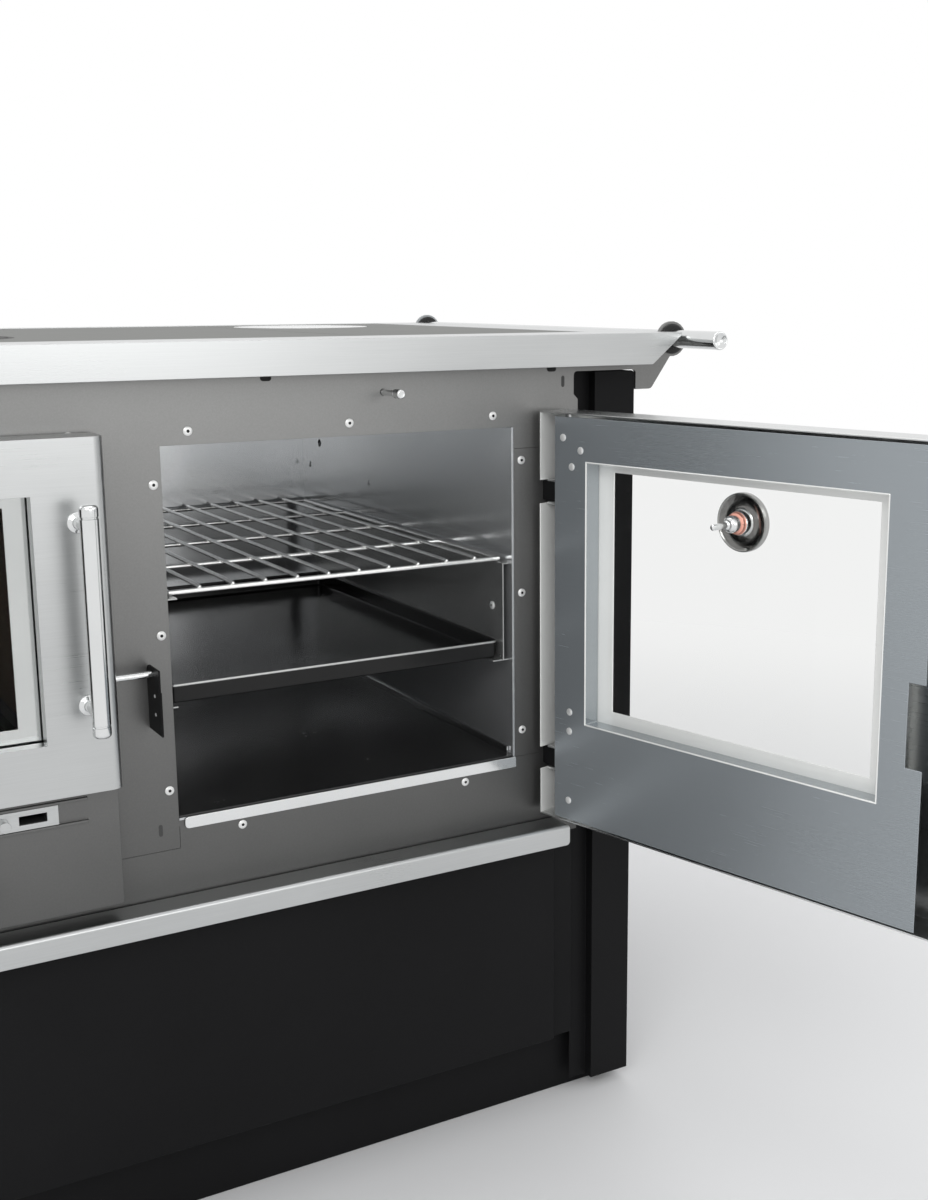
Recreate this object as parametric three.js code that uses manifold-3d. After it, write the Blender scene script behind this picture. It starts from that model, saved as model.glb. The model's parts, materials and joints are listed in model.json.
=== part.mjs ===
// Wood cookstove with an oven, a firebox and a full-width wood drawer.
// Millimetres, +Z up, -Y is the front. The origin is on the floor under the middle of the top.
// The oven door stands open, as it does in use when the oven is loaded; everything else is closed.
import * as THREE from 'three';
import { mergeVertices } from 'three/addons/utils/BufferGeometryUtils.js';
import Module from 'manifold-3d';

const wasm = await Module();
wasm.setup();

// ---------------------------------------------------------------- clearances
const SEAT = 0.3; // between pieces that rest on or in one another
const RUN = 2; // beside pieces that slide
const DOOR_GAP = 5; // between a closed door and the front plate
const DOOR_SPLIT = 7; // between the two closed doors

// ---------------------------------------------------------------- body
const PLINTH_HEIGHT = 75;
const PLINTH_HALF_WIDTH = 430;
const PLINTH_FRONT_SETBACK = 27;
const PLINTH_BACK_SETBACK = 15;
const SIDE_PANEL_RISE = 14; // side panels' lower edge above the floor
const BAY_HEIGHT = 266; // wood drawer bay
const UPPER_HEIGHT = 519; // from the bay's top to the cooking surface
const TOP_WIDTH = 1000;
const TOP_DEPTH = 620;
const TOP_SHEET = 3;
const TOP_OVERHANG = 36;
const APRON_SETOUT = 33; // the apron's face ahead of the front plate
const APRON_HEIGHT = 32.5;
const APRON_SHEET = 2;
const REAR_LIP = 10;
const SIDE_LIP_HEIGHT = 14;
const SHEET = 1.5;
const WALL = 3;

// ---------------------------------------------------------------- front plate
const PLATE = 4;
const PLATE_HALF_WIDTH = 391;
const PLATE_STEP = 5;
const PLATE_STEP_DROP = 67.5; // below the cooking surface
const PLATE_TOP_DROP = 6;
const NOTCH_DROP = 39;
const NOTCH_CORNER = 4;
const WING_DROP = 60;
const WING_REACH = 23; // the wing's lower edge beyond the body side
const WING_CORNER = 6;
const PLATE_SKIRT = 19; // how far the plate hangs over the bay
const EYE_RADIUS = 18.5;
const EYE_HOLE = 13;
const EYE_FOOT_ANGLE = -97.5;
const FLANGE_WIDTH = 50; // side panel's front flange
const FLANGE_SETBACK = 1;
const RECESS_DEPTH = 13.5;
const BACK_RETURN = 23;

// ---------------------------------------------------------------- rails
const RAIL_RADIUS = 9.5;
const RAIL_BORE = 8;
const RAIL_CAP = 4; // closed front end
const RAIL_OUTSET = 11; // axis beyond the top's side edge
const RAIL_DROP = 8;
const RAIL_FRONT_REACH = 84;
const RAIL_REAR_REACH = 14;
const COLLAR_FLANGE = 16;
const COLLAR_FLANGE_THICK = 3;

// ---------------------------------------------------------------- oven
const OVEN_CENTRE_X = 130.3;
const OVEN_WIDTH = 366.6;
const OVEN_TOP_DROP = 93;
const OVEN_SILL_RISE = 76.6; // sill's top above the bay
const SILL_DROP = 3.3; // opening's bottom edge below the sill's top
const SILL_FACE = 11.5;
const SILL_SHEET = 2;
const SILL_END_TRIM = 5;
const SILL_CORNER = 4;
const LINER_WALL = 2.4;
const LINER_DEPTH = 552.5;
const LINER_SIDE_ROOM = 5.3; // left wall beyond the opening
const LINER_TOP_ROOM = 4; // ceiling above the opening
const OVEN_FLOOR = 2;
const RACK_OFFSET = 8; // right support's web to the liner wall
const RACK_SHEET = 1.5;
const RACK_FRONT = 6;
const RACK_LENGTH = 500;
const RACK_TOP_RISE = 207; // above the oven floor
const RACK_HEIGHT = 104;
const RACK_LEDGE = 12; // inward ledge that carries the tray
const RACK_FLANGE = 16; // left support's top flange
const GRID_WIRE = 2.1;
const GRID_BAR = 2.4;
const GRID_FRONT = 18;
const GRID_DEPTH = 527;
const GRID_WIRES = 10;
const GRID_PITCH = 32.6;
const GRID_BARS = 5;
const TRAY_FRONT = 13;
const TRAY_DEPTH = 470;
const TRAY_HEIGHT = 19;
const TRAY_SHEET = 1.5;
const TRAY_RIM = 3;
const TRAY_LEFT_PLAY = 6;
const LINER_HOLE_RADIUS = 5;
const LINER_HOLE_DEPTH = 496;
const LINER_HOLE_RISE = 290;

// ---------------------------------------------------------------- doors
const DOOR_RISE = 12.4; // lower edge above the bay
const DOOR_HEIGHT = 429.6;
const DOOR_DEPTH = 40;
const DOOR_SHEET = 1.5;
const DOOR_CORNER = 10;
const DOOR_OUTER_X = 367.5; // hinge edge from the centre line, both doors
const PIN_INSET = 12.5; // pin from the hinge edge
const PIN_DEPTH = 15; // pin from the door's back plane
const PIN_RADIUS = 3;
const OVEN_OPEN_ANGLE = 104.2;
const PANEL_INSET = 21.5; // inner panel from the shell's side edges
const PANEL_TOP_INSET = 4;
const PANEL_BOTTOM_INSET = 2.8;
const WINDOW_SIDE = 43; // window from the inner panel's side edge
const WINDOW_TOP = 43.7;
const WINDOW_BOTTOM = 108;
const REVEAL_DEPTH = 20;
const FRAME_SIDE = 19.6; // visible width of the glass frame
const FRAME_TOP = 10.3;
const FRAME_BOTTOM = 13.7;
const FRAME_OUTSET = 6;
const GLASS_THICK = 4;
const GLASS_OUTSET = 4;
const HINGE_HEIGHT = 20;
const HINGE_WIDTH = 14;
const HINGE_REACH = 8; // bracket beyond the pin
const HINGE_TOP_RISE = 347; // above the door's lower edge
const HINGE_LOW_RISE = 62;
const NOTCH_PLAY = 2;
const HINGE_NOTCH_DEPTH = 28;
const TAB_SHEET = 2.5;
const TAB_PLAY = 0.6;
const TAB_WIDTH = 18;
const HANDLE_RADIUS = 8;
const HANDLE_LENGTH = 200;
const HANDLE_REACH = 38;
const HANDLE_POST = 5;
const HANDLE_INSET = 27;
const HANDLE_RISE = 120;
const FIRE_DOOR_HEIGHT = 312;
const FIRE_HINGE_LOW_RISE = 50;
const FIRE_WINDOW_BOTTOM = 46;
const FIRE_HANDLE_RISE = 60;

// ---------------------------------------------------------------- catch
const CATCH_X = 34.4; // oven catch plate from the doors' split line
const CATCH_SHEET = 1.6;
const CATCH_REACH = 38;
const CATCH_RISE = 168.5; // lower edge above the bay
const CATCH_HEIGHT = 61;
const CATCH_SHOULDER = 41; // height of the deeper lower part
const CATCH_STEP = 2.2;
const CATCH_CORNER = 7;
const CATCH_ROD_RADIUS = 3.2;
const CATCH_ROD_REACH = 17;
const CATCH_ROD_DROP = 6.5;
const CATCH_NOTCH_PLAY = 7;

// ---------------------------------------------------------------- thermometer
const DIAL_RADIUS = 29;
const DIAL_DEPTH = 10;
const DIAL_DROP = 45; // below the window's upper edge
const DIAL_STEM = 5;
const DIAL_NUT = 9;
const DIAL_NUT_LENGTH = 7;
const PROBE_RADIUS = 2.4;
const PROBE_REACH = 18; // past the door's back plane

// ---------------------------------------------------------------- damper
const DAMPER_X = 168.3;
const DAMPER_DROP = 52.7;
const DAMPER_ROD = 3;
const DAMPER_KNOB = 4.4;
const DAMPER_KNOB_LENGTH = 12;
const DAMPER_REACH = 40;
const DAMPER_FLAP_DEPTH = 337; // flap's axis behind the front plate
const DAMPER_TAIL = 30;
const FLAP_DROP = 22;
const FLAP_WIDTH = 120;
const FLAP_SHEET = 3;
const FLAP_PIN = 3;
const FLAP_PIN_REACH = 10;
const LUG_SHEET = 4;
const LUG_WIDTH = 20;

// ---------------------------------------------------------------- hob
const HOB_HALF_WIDTH = 427;
const HOB_FRONT = 69; // frame's front band
const HOB_BACK = 20;
const HOB_SEAM_X = 173;
const HOB_PLATE = 6;
const HOB_LEDGE = 12;
const RING_STEP = 10;
const RING_X = -242;
const RING_Y = -60;
const RING_RADIUS = 115;
const LID_RADIUS = 70;
const FLUE_X = 276;
const FLUE_Y = 185;
const FLUE_RADIUS = 83;

// ---------------------------------------------------------------- firebox
const FIRE_X = -242;
const FIRE_OPEN_WIDTH = 164;
const FIRE_OPEN_RISE = 184;
const FIRE_OPEN_HEIGHT = 220;
const FIREBOX_WIDTH = 200;
const FIREBOX_DEPTH = 330;
const FIREBOX_WALL = 4;
const ASH_FLOOR_RISE = 31;
const ASH_BAY_HEIGHT = 88;
const HEARTH = 45;
const GRATE_WIDTH = 146;
const GRATE_DEPTH = 210;
const GRATE_THICK = 15;
const GRATE_LEDGE = 10;
const GRATE_SLOTS = 7;
const GRATE_SLOT = 9;
const BRICK = 22;
const BRICK_HEIGHT = 250;
const ASH_OPEN_WIDTH = 175;
const ASH_BOX_WIDTH = 160;
const ASH_BOX_HEIGHT = 68;
const ASH_BOX_DEPTH = 290;
const ASH_SHEET = 1.5;
const ASH_FRONT_GAP = 3;
const ASH_FRONT_THICK = 18;
const ASH_FRONT_HEIGHT = 113.6;
const ASH_KNOB_RADIUS = 12;
const ASH_KNOB_REACH = 26;
const AIR_SLOTS = 3;
const AIR_SLOT_WIDTH = 24;
const AIR_SLOT_HEIGHT = 8;
const AIR_SLOT_PITCH = 52;
const AIR_SLOT_RISE = 96;
const AIR_SLIDE_SHEET = 2;
const AIR_SLIDE_MARGIN = 5;
const AIR_GUIDE = 2.5;
const AIR_KNOB_RADIUS = 5;
const AIR_KNOB_REACH = 12;

// ---------------------------------------------------------------- wood drawer
const BAY_COLUMN = 30;
const BAY_SETBACK = 9;
const BAY_HEAD = 23;
const DRAWER_FRONT_SETOUT = 5;
const DRAWER_FRONT_THICK = 18;
const DRAWER_BOX_SIDE = 11; // box narrower than the bay's mouth, each side
const DRAWER_BOX_HEIGHT = 216;
const DRAWER_BOX_DEPTH = 500;
const DRAWER_SHEET = 2;
const DRAWER_LEDGE = 58;
const DRAWER_LEDGE_HEIGHT = 5.7;
const GRIP_HALF_WIDTH = 362;
const GRIP_HEIGHT = 22.6;
const GRIP_SHEET = 2;
const GRIP_CORNER = 4;

// ---------------------------------------------------------------- shared places
const shelfZ = PLINTH_HEIGHT + BAY_HEIGHT;
const topZ = shelfZ + UPPER_HEIGHT;
const frontY = -TOP_DEPTH / 2 + APRON_SETOUT;
const plateBackY = frontY + PLATE;
const rearY = TOP_DEPTH / 2 - REAR_LIP;
const bodyHalf = TOP_WIDTH / 2 - TOP_OVERHANG - 1;
const railX = TOP_WIDTH / 2 + RAIL_OUTSET;
const railZ = topZ - RAIL_DROP;
const plinthTopZ = PLINTH_HEIGHT;

const openLeft = OVEN_CENTRE_X - OVEN_WIDTH / 2;
const openRight = OVEN_CENTRE_X + OVEN_WIDTH / 2;
const openTop = topZ - OVEN_TOP_DROP;
const sillTop = shelfZ + OVEN_SILL_RISE;
const openBottom = sillTop - SILL_DROP;
const linerLeft = openLeft - LINER_SIDE_ROOM;
const linerRight = openRight - SEAT - LINER_WALL;
const linerTop = openTop + LINER_TOP_ROOM;
const linerBottom = openBottom + SEAT + LINER_WALL;
const linerFront = frontY + SEAT;
const linerBack = frontY + LINER_DEPTH;
const ovenFloorZ = linerBottom + SEAT + OVEN_FLOOR;
const rackTop = ovenFloorZ + RACK_TOP_RISE;
const rackBottom = rackTop - RACK_HEIGHT;
const rackLeft = linerLeft + SEAT;
const rackRight = linerRight - RACK_OFFSET;

const doorBack = frontY - DOOR_GAP;
const doorFront = doorBack - DOOR_DEPTH;
const doorZ = shelfZ + DOOR_RISE;
const doorTop = doorZ + DOOR_HEIGHT;
const ovenDoorLeft = 2 * OVEN_CENTRE_X - DOOR_OUTER_X;
const fireDoorRight = ovenDoorLeft - DOOR_SPLIT;
const pinX = DOOR_OUTER_X - PIN_INSET;
const pinY = doorBack - PIN_DEPTH;
const fireDoorZ = doorTop - FIRE_DOOR_HEIGHT;
const fireOpenZ = shelfZ + FIRE_OPEN_RISE;
const ashFloorZ = shelfZ + ASH_FLOOR_RISE;
const ashRoofZ = ashFloorZ + ASH_BAY_HEIGHT;
const hearthZ = ashRoofZ + HEARTH;
const catchX = ovenDoorLeft - DOOR_SPLIT / 2 + CATCH_X;
const fireCatchX = ovenDoorLeft - DOOR_SPLIT / 2 - CATCH_X;
const catchZ = shelfZ + CATCH_RISE;
const catchRodZ = catchZ + CATCH_HEIGHT - CATCH_ROD_DROP;
const catchRodY = frontY - CATCH_ROD_REACH;
const damperZ = topZ - DAMPER_DROP;
const flapY = frontY + DAMPER_FLAP_DEPTH;
const flapZ = topZ - FLAP_DROP;
const hobTop = topZ - 0.6;
const hobBottom = hobTop - HOB_PLATE;
const hobFrontY = -TOP_DEPTH / 2 + HOB_FRONT;
const hobBackY = TOP_DEPTH / 2 - HOB_BACK;
const mouthHalf = PLATE_HALF_WIDTH - BAY_COLUMN;
const bayFrontY = frontY + BAY_SETBACK;
const bayBackY = rearY - PLATE - SEAT;
const drawerFace = frontY - DRAWER_FRONT_SETOUT;
const drawerFrontBack = drawerFace + DRAWER_FRONT_THICK;

// ---------------------------------------------------------------- solids
/** Triangles of a geometry with shared corners, no empty faces, and faces pointing out. */
function tidy(geometry) {
  const bare = geometry.index ? geometry.toNonIndexed() : geometry.clone();
  for (const name of Object.keys(bare.attributes)) {
    if (name !== 'position') bare.deleteAttribute(name);
  }
  const merged = mergeVertices(bare, 1e-3);
  const source = merged.index.array;
  const kept = [];
  for (let i = 0; i < source.length; i += 3) {
    const [a, b, c] = [source[i], source[i + 1], source[i + 2]];
    if (a !== b && b !== c && c !== a) kept.push(a, b, c);
  }
  const at = merged.attributes.position;
  let volume = 0;
  const [p, q, r] = [new THREE.Vector3(), new THREE.Vector3(), new THREE.Vector3()];
  for (let i = 0; i < kept.length; i += 3) {
    p.fromBufferAttribute(at, kept[i]);
    q.fromBufferAttribute(at, kept[i + 1]);
    r.fromBufferAttribute(at, kept[i + 2]);
    volume += p.dot(q.cross(r));
  }
  if (volume < 0) {
    for (let i = 0; i < kept.length; i += 3) {
      [kept[i + 1], kept[i + 2]] = [kept[i + 2], kept[i + 1]];
    }
  }
  merged.setIndex(kept);
  return merged;
}

/** Manifold solid of a three.js geometry. */
function solid(geometry) {
  const clean = tidy(geometry);
  return new wasm.Manifold(new wasm.Mesh({
    numProp: 3,
    vertProperties: new Float32Array(clean.attributes.position.array),
    triVerts: new Uint32Array(clean.index.array),
  }));
}

/** three.js geometry of a manifold solid. */
function geometryOf(body) {
  const mesh = body.getMesh();
  const geometry = new THREE.BufferGeometry();
  geometry.setAttribute('position', new THREE.BufferAttribute(new Float32Array(mesh.vertProperties), 3));
  geometry.setIndex(new THREE.BufferAttribute(new Uint32Array(mesh.triVerts), 1));
  geometry.computeVertexNormals();
  return geometry;
}

/** Box between two corners. */
function box(x0, x1, y0, y1, z0, z1) {
  const geometry = new THREE.BoxGeometry(x1 - x0, y1 - y0, z1 - z0);
  geometry.translate((x0 + x1) / 2, (y0 + y1) / 2, (z0 + z1) / 2);
  return solid(geometry);
}

/** Joins solids. */
function join(first, ...others) {
  return others.reduce((body, other) => body.add(other), first);
}

/** Cuts solids away from the first. */
function cut(first, ...others) {
  return others.reduce((body, other) => body.subtract(other), first);
}

/** Points of an arc, angles in degrees. */
function arc(cx, cy, radius, from, to, steps) {
  const points = [];
  for (let i = 0; i <= steps; i += 1) {
    const angle = THREE.MathUtils.degToRad(from + (to - from) * i / steps);
    points.push([cx + radius * Math.cos(angle), cy + radius * Math.sin(angle)]);
  }
  return points;
}

/** Outline of a rectangle whose corners have the given radii: lower left, lower right, upper right, upper left. */
function roundedRect(x0, x1, y0, y1, radii, steps = 4) {
  const [ll, lr, ur, ul] = radii;
  const corner = (cx, cy, radius, from) => (radius > 0 ? arc(cx, cy, radius, from, from + 90, steps) : [[cx, cy]]);
  return [
    ...corner(x0 + ll, y0 + ll, ll, 180),
    ...corner(x1 - lr, y0 + lr, lr, 270),
    ...corner(x1 - ur, y1 - ur, ur, 0),
    ...corner(x0 + ul, y1 - ul, ul, 90),
  ];
}

/** Shape with holes from lists of points. */
function shapeOf(points, holes = []) {
  const shape = new THREE.Shape(points.map(([a, b]) => new THREE.Vector2(a, b)));
  for (const hole of holes) {
    shape.holes.push(new THREE.Path(hole.map(([a, b]) => new THREE.Vector2(a, b))));
  }
  return shape;
}

/** Plate whose outline is given in x and z, between two y planes. */
function plateXZ(points, y0, y1, holes = []) {
  const geometry = new THREE.ExtrudeGeometry(shapeOf(points, holes), { depth: y1 - y0, bevelEnabled: false });
  geometry.rotateX(Math.PI / 2);
  geometry.translate(0, y1, 0);
  return solid(geometry);
}

/** Prism whose outline is given in y and z, between two x planes. */
function prismYZ(points, x0, x1) {
  const geometry = new THREE.ExtrudeGeometry(shapeOf(points), { depth: x1 - x0, bevelEnabled: false });
  geometry.applyMatrix4(new THREE.Matrix4().set(0, 0, 1, x0, 1, 0, 0, 0, 0, 1, 0, 0, 0, 0, 0, 1));
  return solid(geometry);
}

/** Prism whose outline is given in x and y, between two z planes. */
function prismXY(points, z0, z1) {
  const geometry = new THREE.ExtrudeGeometry(shapeOf(points), { depth: z1 - z0, bevelEnabled: false });
  geometry.translate(0, 0, z0);
  return solid(geometry);
}

/** Turned body: profile of radius and height about an axis through a point. */
function turned(profile, axis, [x, y, z], segments = 20) {
  const geometry = new THREE.LatheGeometry(profile.map(([r, h]) => new THREE.Vector2(r, h)), segments);
  if (axis === 'z') geometry.rotateX(Math.PI / 2);
  if (axis === 'x') geometry.rotateZ(-Math.PI / 2);
  geometry.translate(x, y, z);
  return solid(geometry);
}

/** Round bar from one point along an axis. */
function bar(radius, length, axis, at, segments = 16) {
  return turned([[0, 0], [radius, 0], [radius, length], [0, length]], axis, at, segments);
}

// ---------------------------------------------------------------- materials
const PALETTE = {
  plate: { color: 0x6f6f6d, roughness: 0.55, metalness: 0.3 },
  black: { color: 0x1c1c1c, roughness: 0.6, metalness: 0.2 },
  stainless: { color: 0xc9cccd, roughness: 0.28, metalness: 1 },
  panel: { color: 0x6b7376, roughness: 0.35, metalness: 0.8 },
  polished: { color: 0xdadddd, roughness: 0.1, metalness: 1 },
  enamel: { color: 0x202020, roughness: 0.3, metalness: 0.1 },
  hob: { color: 0xa9a9a2, roughness: 0.4, metalness: 0.9 },
  castIron: { color: 0x2b2b2b, roughness: 0.8, metalness: 0.5 },
  brick: { color: 0xb59a78, roughness: 0.95, metalness: 0 },
  galvanised: { color: 0x8f9496, roughness: 0.5, metalness: 0.9 },
  glass: { color: 0xdfe6e6, roughness: 0.05, metalness: 0, transparent: true, opacity: 0.3 },
  rubber: { color: 0x151515, roughness: 0.7, metalness: 0 },
};

/** Named mesh in one of the finishes. */
function piece(name, body, finish) {
  const mesh = new THREE.Mesh(geometryOf(body), new THREE.MeshStandardMaterial(PALETTE[finish]));
  mesh.name = name;
  return mesh;
}

const stove = new THREE.Group();

// ---------------------------------------------------------------- base
/** Plinth: a flat base plate with four walls, recessed under the body. */
function plinth() {
  const half = PLINTH_HALF_WIDTH;
  const [y0, y1] = [frontY + PLINTH_FRONT_SETBACK, rearY - PLINTH_BACK_SETBACK];
  const z1 = plinthTopZ - SEAT;
  return cut(
    box(-half, half, y0, y1, 0, z1),
    box(-half + WALL, half - WALL, y0 + WALL, y1 - WALL, WALL, z1 + 1),
  );
}
stove.add(piece('plinth', plinth(), 'black'));

/** Wood drawer bay: box open at the front between two columns, with ledges and a front head. */
function drawerBay() {
  const half = PLATE_HALF_WIDTH;
  const [z0, z1] = [plinthTopZ, shelfZ];
  const body = cut(
    box(-half, half, bayFrontY, bayBackY, z0, z1),
    box(-half + WALL, half - WALL, bayFrontY + WALL, bayBackY - WALL, z0 + WALL, z1 - WALL),
    box(-mouthHalf, mouthHalf, bayFrontY - 1, bayFrontY + WALL + 1, z0 + WALL, z1 - BAY_HEAD),
  );
  const parts = [box(-half, half, plateBackY + SEAT, bayFrontY + 1, z1 - BAY_HEAD, z1)];
  for (const sx of [-1, 1]) {
    const [a, b] = [sx * (half - WALL / 2), sx * (half - WALL / 2 - DRAWER_LEDGE)].sort((p, q) => p - q);
    parts.push(box(a, b, drawerFrontBack + RUN, bayBackY - WALL / 2, z0 + WALL / 2, z0 + WALL + DRAWER_LEDGE_HEIGHT));
  }
  return join(body, ...parts);
}
stove.add(piece('drawer_bay', drawerBay(), 'black'));

// ---------------------------------------------------------------- plates and cladding
/** Right half of a plate's outline, from its lower corner to the top of its eye. */
function halfOutline(lowerX, bottomZ, notched) {
  const side = TOP_WIDTH / 2 - TOP_OVERHANG;
  const notchZ = topZ - NOTCH_DROP;
  const wingZ = topZ - WING_DROP;
  const stepZ = topZ - PLATE_STEP_DROP;
  const points = [[lowerX, bottomZ]];
  if (notched) {
    const inner = lowerX - PLATE_STEP;
    points.push([lowerX, stepZ], [inner, stepZ + PLATE_STEP]);
    points.push(...arc(inner + NOTCH_CORNER, notchZ - NOTCH_CORNER, NOTCH_CORNER, 180, 90, 4));
    points.push(...arc(side - NOTCH_CORNER, notchZ - NOTCH_CORNER, NOTCH_CORNER, 90, 0, 4));
    points.push([side, wingZ]);
  } else {
    points.push([lowerX, wingZ]);
  }
  const tip = side + WING_REACH;
  points.push(...arc(tip - WING_CORNER, wingZ + WING_CORNER, WING_CORNER, 270, 330, 4));
  const topEdge = topZ - PLATE_TOP_DROP;
  const lastAngle = 180 - THREE.MathUtils.radToDeg(Math.asin((topEdge - railZ) / EYE_RADIUS));
  points.push(...arc(railX, railZ, EYE_RADIUS, EYE_FOOT_ANGLE, lastAngle, 18));
  return points;
}

/** Whole outline: the right half and its mirror image. */
function plateOutline(lowerX, bottomZ, notched) {
  const right = halfOutline(lowerX, bottomZ, notched);
  const left = right.map(([x, z]) => [-x, z]).reverse();
  return [...right, ...left];
}

const circle = (cx, cz, radius, steps = 16) => arc(cx, cz, radius, 0, 360 - 360 / steps, steps - 1);
const rect = (x0, x1, z0, z1) => roundedRect(x0, x1, z0, z1, [0, 0, 0, 0]);
const eyeHoles = [circle(-railX, railZ, EYE_HOLE), circle(railX, railZ, EYE_HOLE)];

const frontHoles = [
  ...eyeHoles,
  rect(openLeft, openRight, openBottom, openTop),
  rect(FIRE_X - FIRE_OPEN_WIDTH / 2, FIRE_X + FIRE_OPEN_WIDTH / 2, fireOpenZ, fireOpenZ + FIRE_OPEN_HEIGHT),
  rect(FIRE_X - ASH_OPEN_WIDTH / 2, FIRE_X + ASH_OPEN_WIDTH / 2, ashFloorZ, ashRoofZ),
  circle(DAMPER_X, damperZ, DAMPER_ROD + SEAT, 12),
];
const frontOutline = plateOutline(PLATE_HALF_WIDTH, shelfZ - PLATE_SKIRT, true);
stove.add(piece('front_plate', plateXZ(frontOutline, frontY, plateBackY, frontHoles), 'plate'));

const backOutline = plateOutline(bodyHalf, plinthTopZ, false);
stove.add(piece('back_panel', plateXZ(backOutline, rearY - PLATE, rearY, eyeHoles), 'galvanised'));

/** Side panel: one folded sheet with a recess beside the front plate, a front flange and a rear return. */
function sidePanel(sx) {
  const start = PLATE_HALF_WIDTH + SEAT;
  const fold = bodyHalf - FLANGE_WIDTH;
  const face = frontY + FLANGE_SETBACK;
  const recess = frontY + RECESS_DEPTH;
  const rear = rearY - PLATE - SEAT;
  const outline = [
    [start, recess], [fold, recess], [fold, face], [bodyHalf, face], [bodyHalf, rear],
    [bodyHalf - BACK_RETURN, rear], [bodyHalf - BACK_RETURN, rear - SHEET], [bodyHalf - SHEET, rear - SHEET],
    [bodyHalf - SHEET, face + SHEET], [fold + SHEET, face + SHEET], [fold + SHEET, recess + SHEET],
    [start, recess + SHEET],
  ];
  const top = topZ - NOTCH_DROP - SEAT * 3;
  const placed = outline.map(([x, y]) => [sx * x, y]);
  const [low, high] = [sx * start, sx * bodyHalf].sort((p, q) => p - q);
  const corner = NOTCH_CORNER + SEAT;
  const radii = sx > 0 ? [0, 0, corner, 0] : [0, 0, 0, corner];
  return prismXY(sx < 0 ? placed.reverse() : placed, SIDE_PANEL_RISE, top).intersect(
    plateXZ(roundedRect(low, high, SIDE_PANEL_RISE, top, radii), frontY, rearY),
  );
}
stove.add(piece('side_panel_left', sidePanel(-1), 'black'));
stove.add(piece('side_panel_right', sidePanel(1), 'black'));

// ---------------------------------------------------------------- top
/** Top frame: flat sheet with a sloped-end apron, side lips, plate ledge and seam bar. */
function topFrame() {
  const [half, front, back] = [TOP_WIDTH / 2, -TOP_DEPTH / 2, TOP_DEPTH / 2];
  const under = topZ - TOP_SHEET;
  const low = topZ - APRON_HEIGHT;
  const slope = TOP_OVERHANG + 1;
  const apron = [
    [-half + slope, low], [half - slope, low], [half, under], [half, topZ], [-half, topZ], [-half, under],
  ];
  const apronInner = [
    [-half + slope + APRON_SHEET, low - 1], [half - slope - APRON_SHEET, low - 1],
    [half - slope - APRON_SHEET, low + 1], [half - APRON_SHEET * 2, under + 0.5],
    [-half + APRON_SHEET * 2, under + 0.5], [-half + slope + APRON_SHEET, low + 1],
  ];
  const apronBack = frontY - SEAT * 3;
  let body = join(
    box(-half, half, front, back, under, topZ),
    cut(
      plateXZ(apron, front, apronBack),
      plateXZ(apronInner, front + APRON_SHEET, apronBack + 1),
    ),
  );
  const eyeSlot = EYE_RADIUS + 1;
  for (const sx of [-1, 1]) {
    const [a, b] = [sx * (half - APRON_SHEET), sx * half].sort((p, q) => p - q);
    body = body.add(box(a, b, plateBackY + 2, rearY - PLATE - 2, under - SIDE_LIP_HEIGHT, under + 1));
  }
  body = body.add(box(-half + 30, half - 30, back - APRON_SHEET, back, low, under + 1));
  const hob = HOB_HALF_WIDTH + SEAT;
  const seat = hobBottom - SEAT;
  body = join(
    body,
    box(-hob - WALL, hob + WALL, hobFrontY - SEAT - WALL, hobBackY + SEAT + WALL, seat - WALL, under + 1),
  );
  body = cut(body, box(-hob, hob, hobFrontY - SEAT, hobBackY + SEAT, seat, topZ + 1));
  const [leftX, rightX] = [-hob + HOB_LEDGE, hob - HOB_LEDGE];
  const [y0, y1] = [hobFrontY + HOB_LEDGE, hobBackY - HOB_LEDGE];
  body = cut(
    body,
    box(leftX, HOB_SEAM_X - HOB_LEDGE, y0, y1, seat - WALL - 1, seat + 1),
    box(HOB_SEAM_X + HOB_LEDGE, rightX, y0, y1, seat - WALL - 1, seat + 1),
  );
  for (const sx of [-1, 1]) {
    const [a, b] = [sx * (railX - eyeSlot), sx * (railX + eyeSlot)].sort((p, q) => p - q);
    for (const y of [frontY, rearY - PLATE]) {
      body = body.subtract(box(a, b, y - COLLAR_FLANGE_THICK - 1, y + PLATE + COLLAR_FLANGE_THICK + 1, low - 1, topZ + 1));
    }
  }
  return body;
}
stove.add(piece('top_frame', topFrame(), 'stainless'));

/** Stepped hole or lid profile, wide above and narrow below. */
function steppedDisc(x, y, radius, z0, z1, play) {
  const mid = (z0 + z1) / 2;
  const profile = [
    [0, z0], [radius - RING_STEP - play, z0], [radius - RING_STEP - play, mid + play],
    [radius - play, mid + play], [radius - play, z1], [0, z1],
  ];
  return turned(profile, 'z', [x, y, 0], 32);
}

/** Cooking plate between two x values, with a stepped hole. */
function hobPlate(x0, x1, holeX, holeY, radius) {
  return cut(
    box(x0, x1, hobFrontY, hobBackY, hobBottom, hobTop),
    steppedDisc(holeX, holeY, radius, hobBottom - 1, hobTop + 1, 0),
  );
}
const seam = SEAT * 2;
const leftPlate = hobPlate(-HOB_HALF_WIDTH, HOB_SEAM_X - seam, RING_X, RING_Y, RING_RADIUS);
const rightPlate = hobPlate(HOB_SEAM_X + seam, HOB_HALF_WIDTH, FLUE_X, FLUE_Y, FLUE_RADIUS);
stove.add(piece('hob_plate_left', leftPlate, 'hob'));
stove.add(piece('hob_plate_right', rightPlate, 'hob'));
const hobRing = cut(
  steppedDisc(RING_X, RING_Y, RING_RADIUS, hobBottom, hobTop, SEAT),
  steppedDisc(RING_X, RING_Y, LID_RADIUS, hobBottom - 1, hobTop + 1, 0),
);
stove.add(piece('hob_ring', hobRing, 'castIron'));
stove.add(piece('hob_lid', steppedDisc(RING_X, RING_Y, LID_RADIUS, hobBottom, hobTop, SEAT), 'castIron'));
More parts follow.
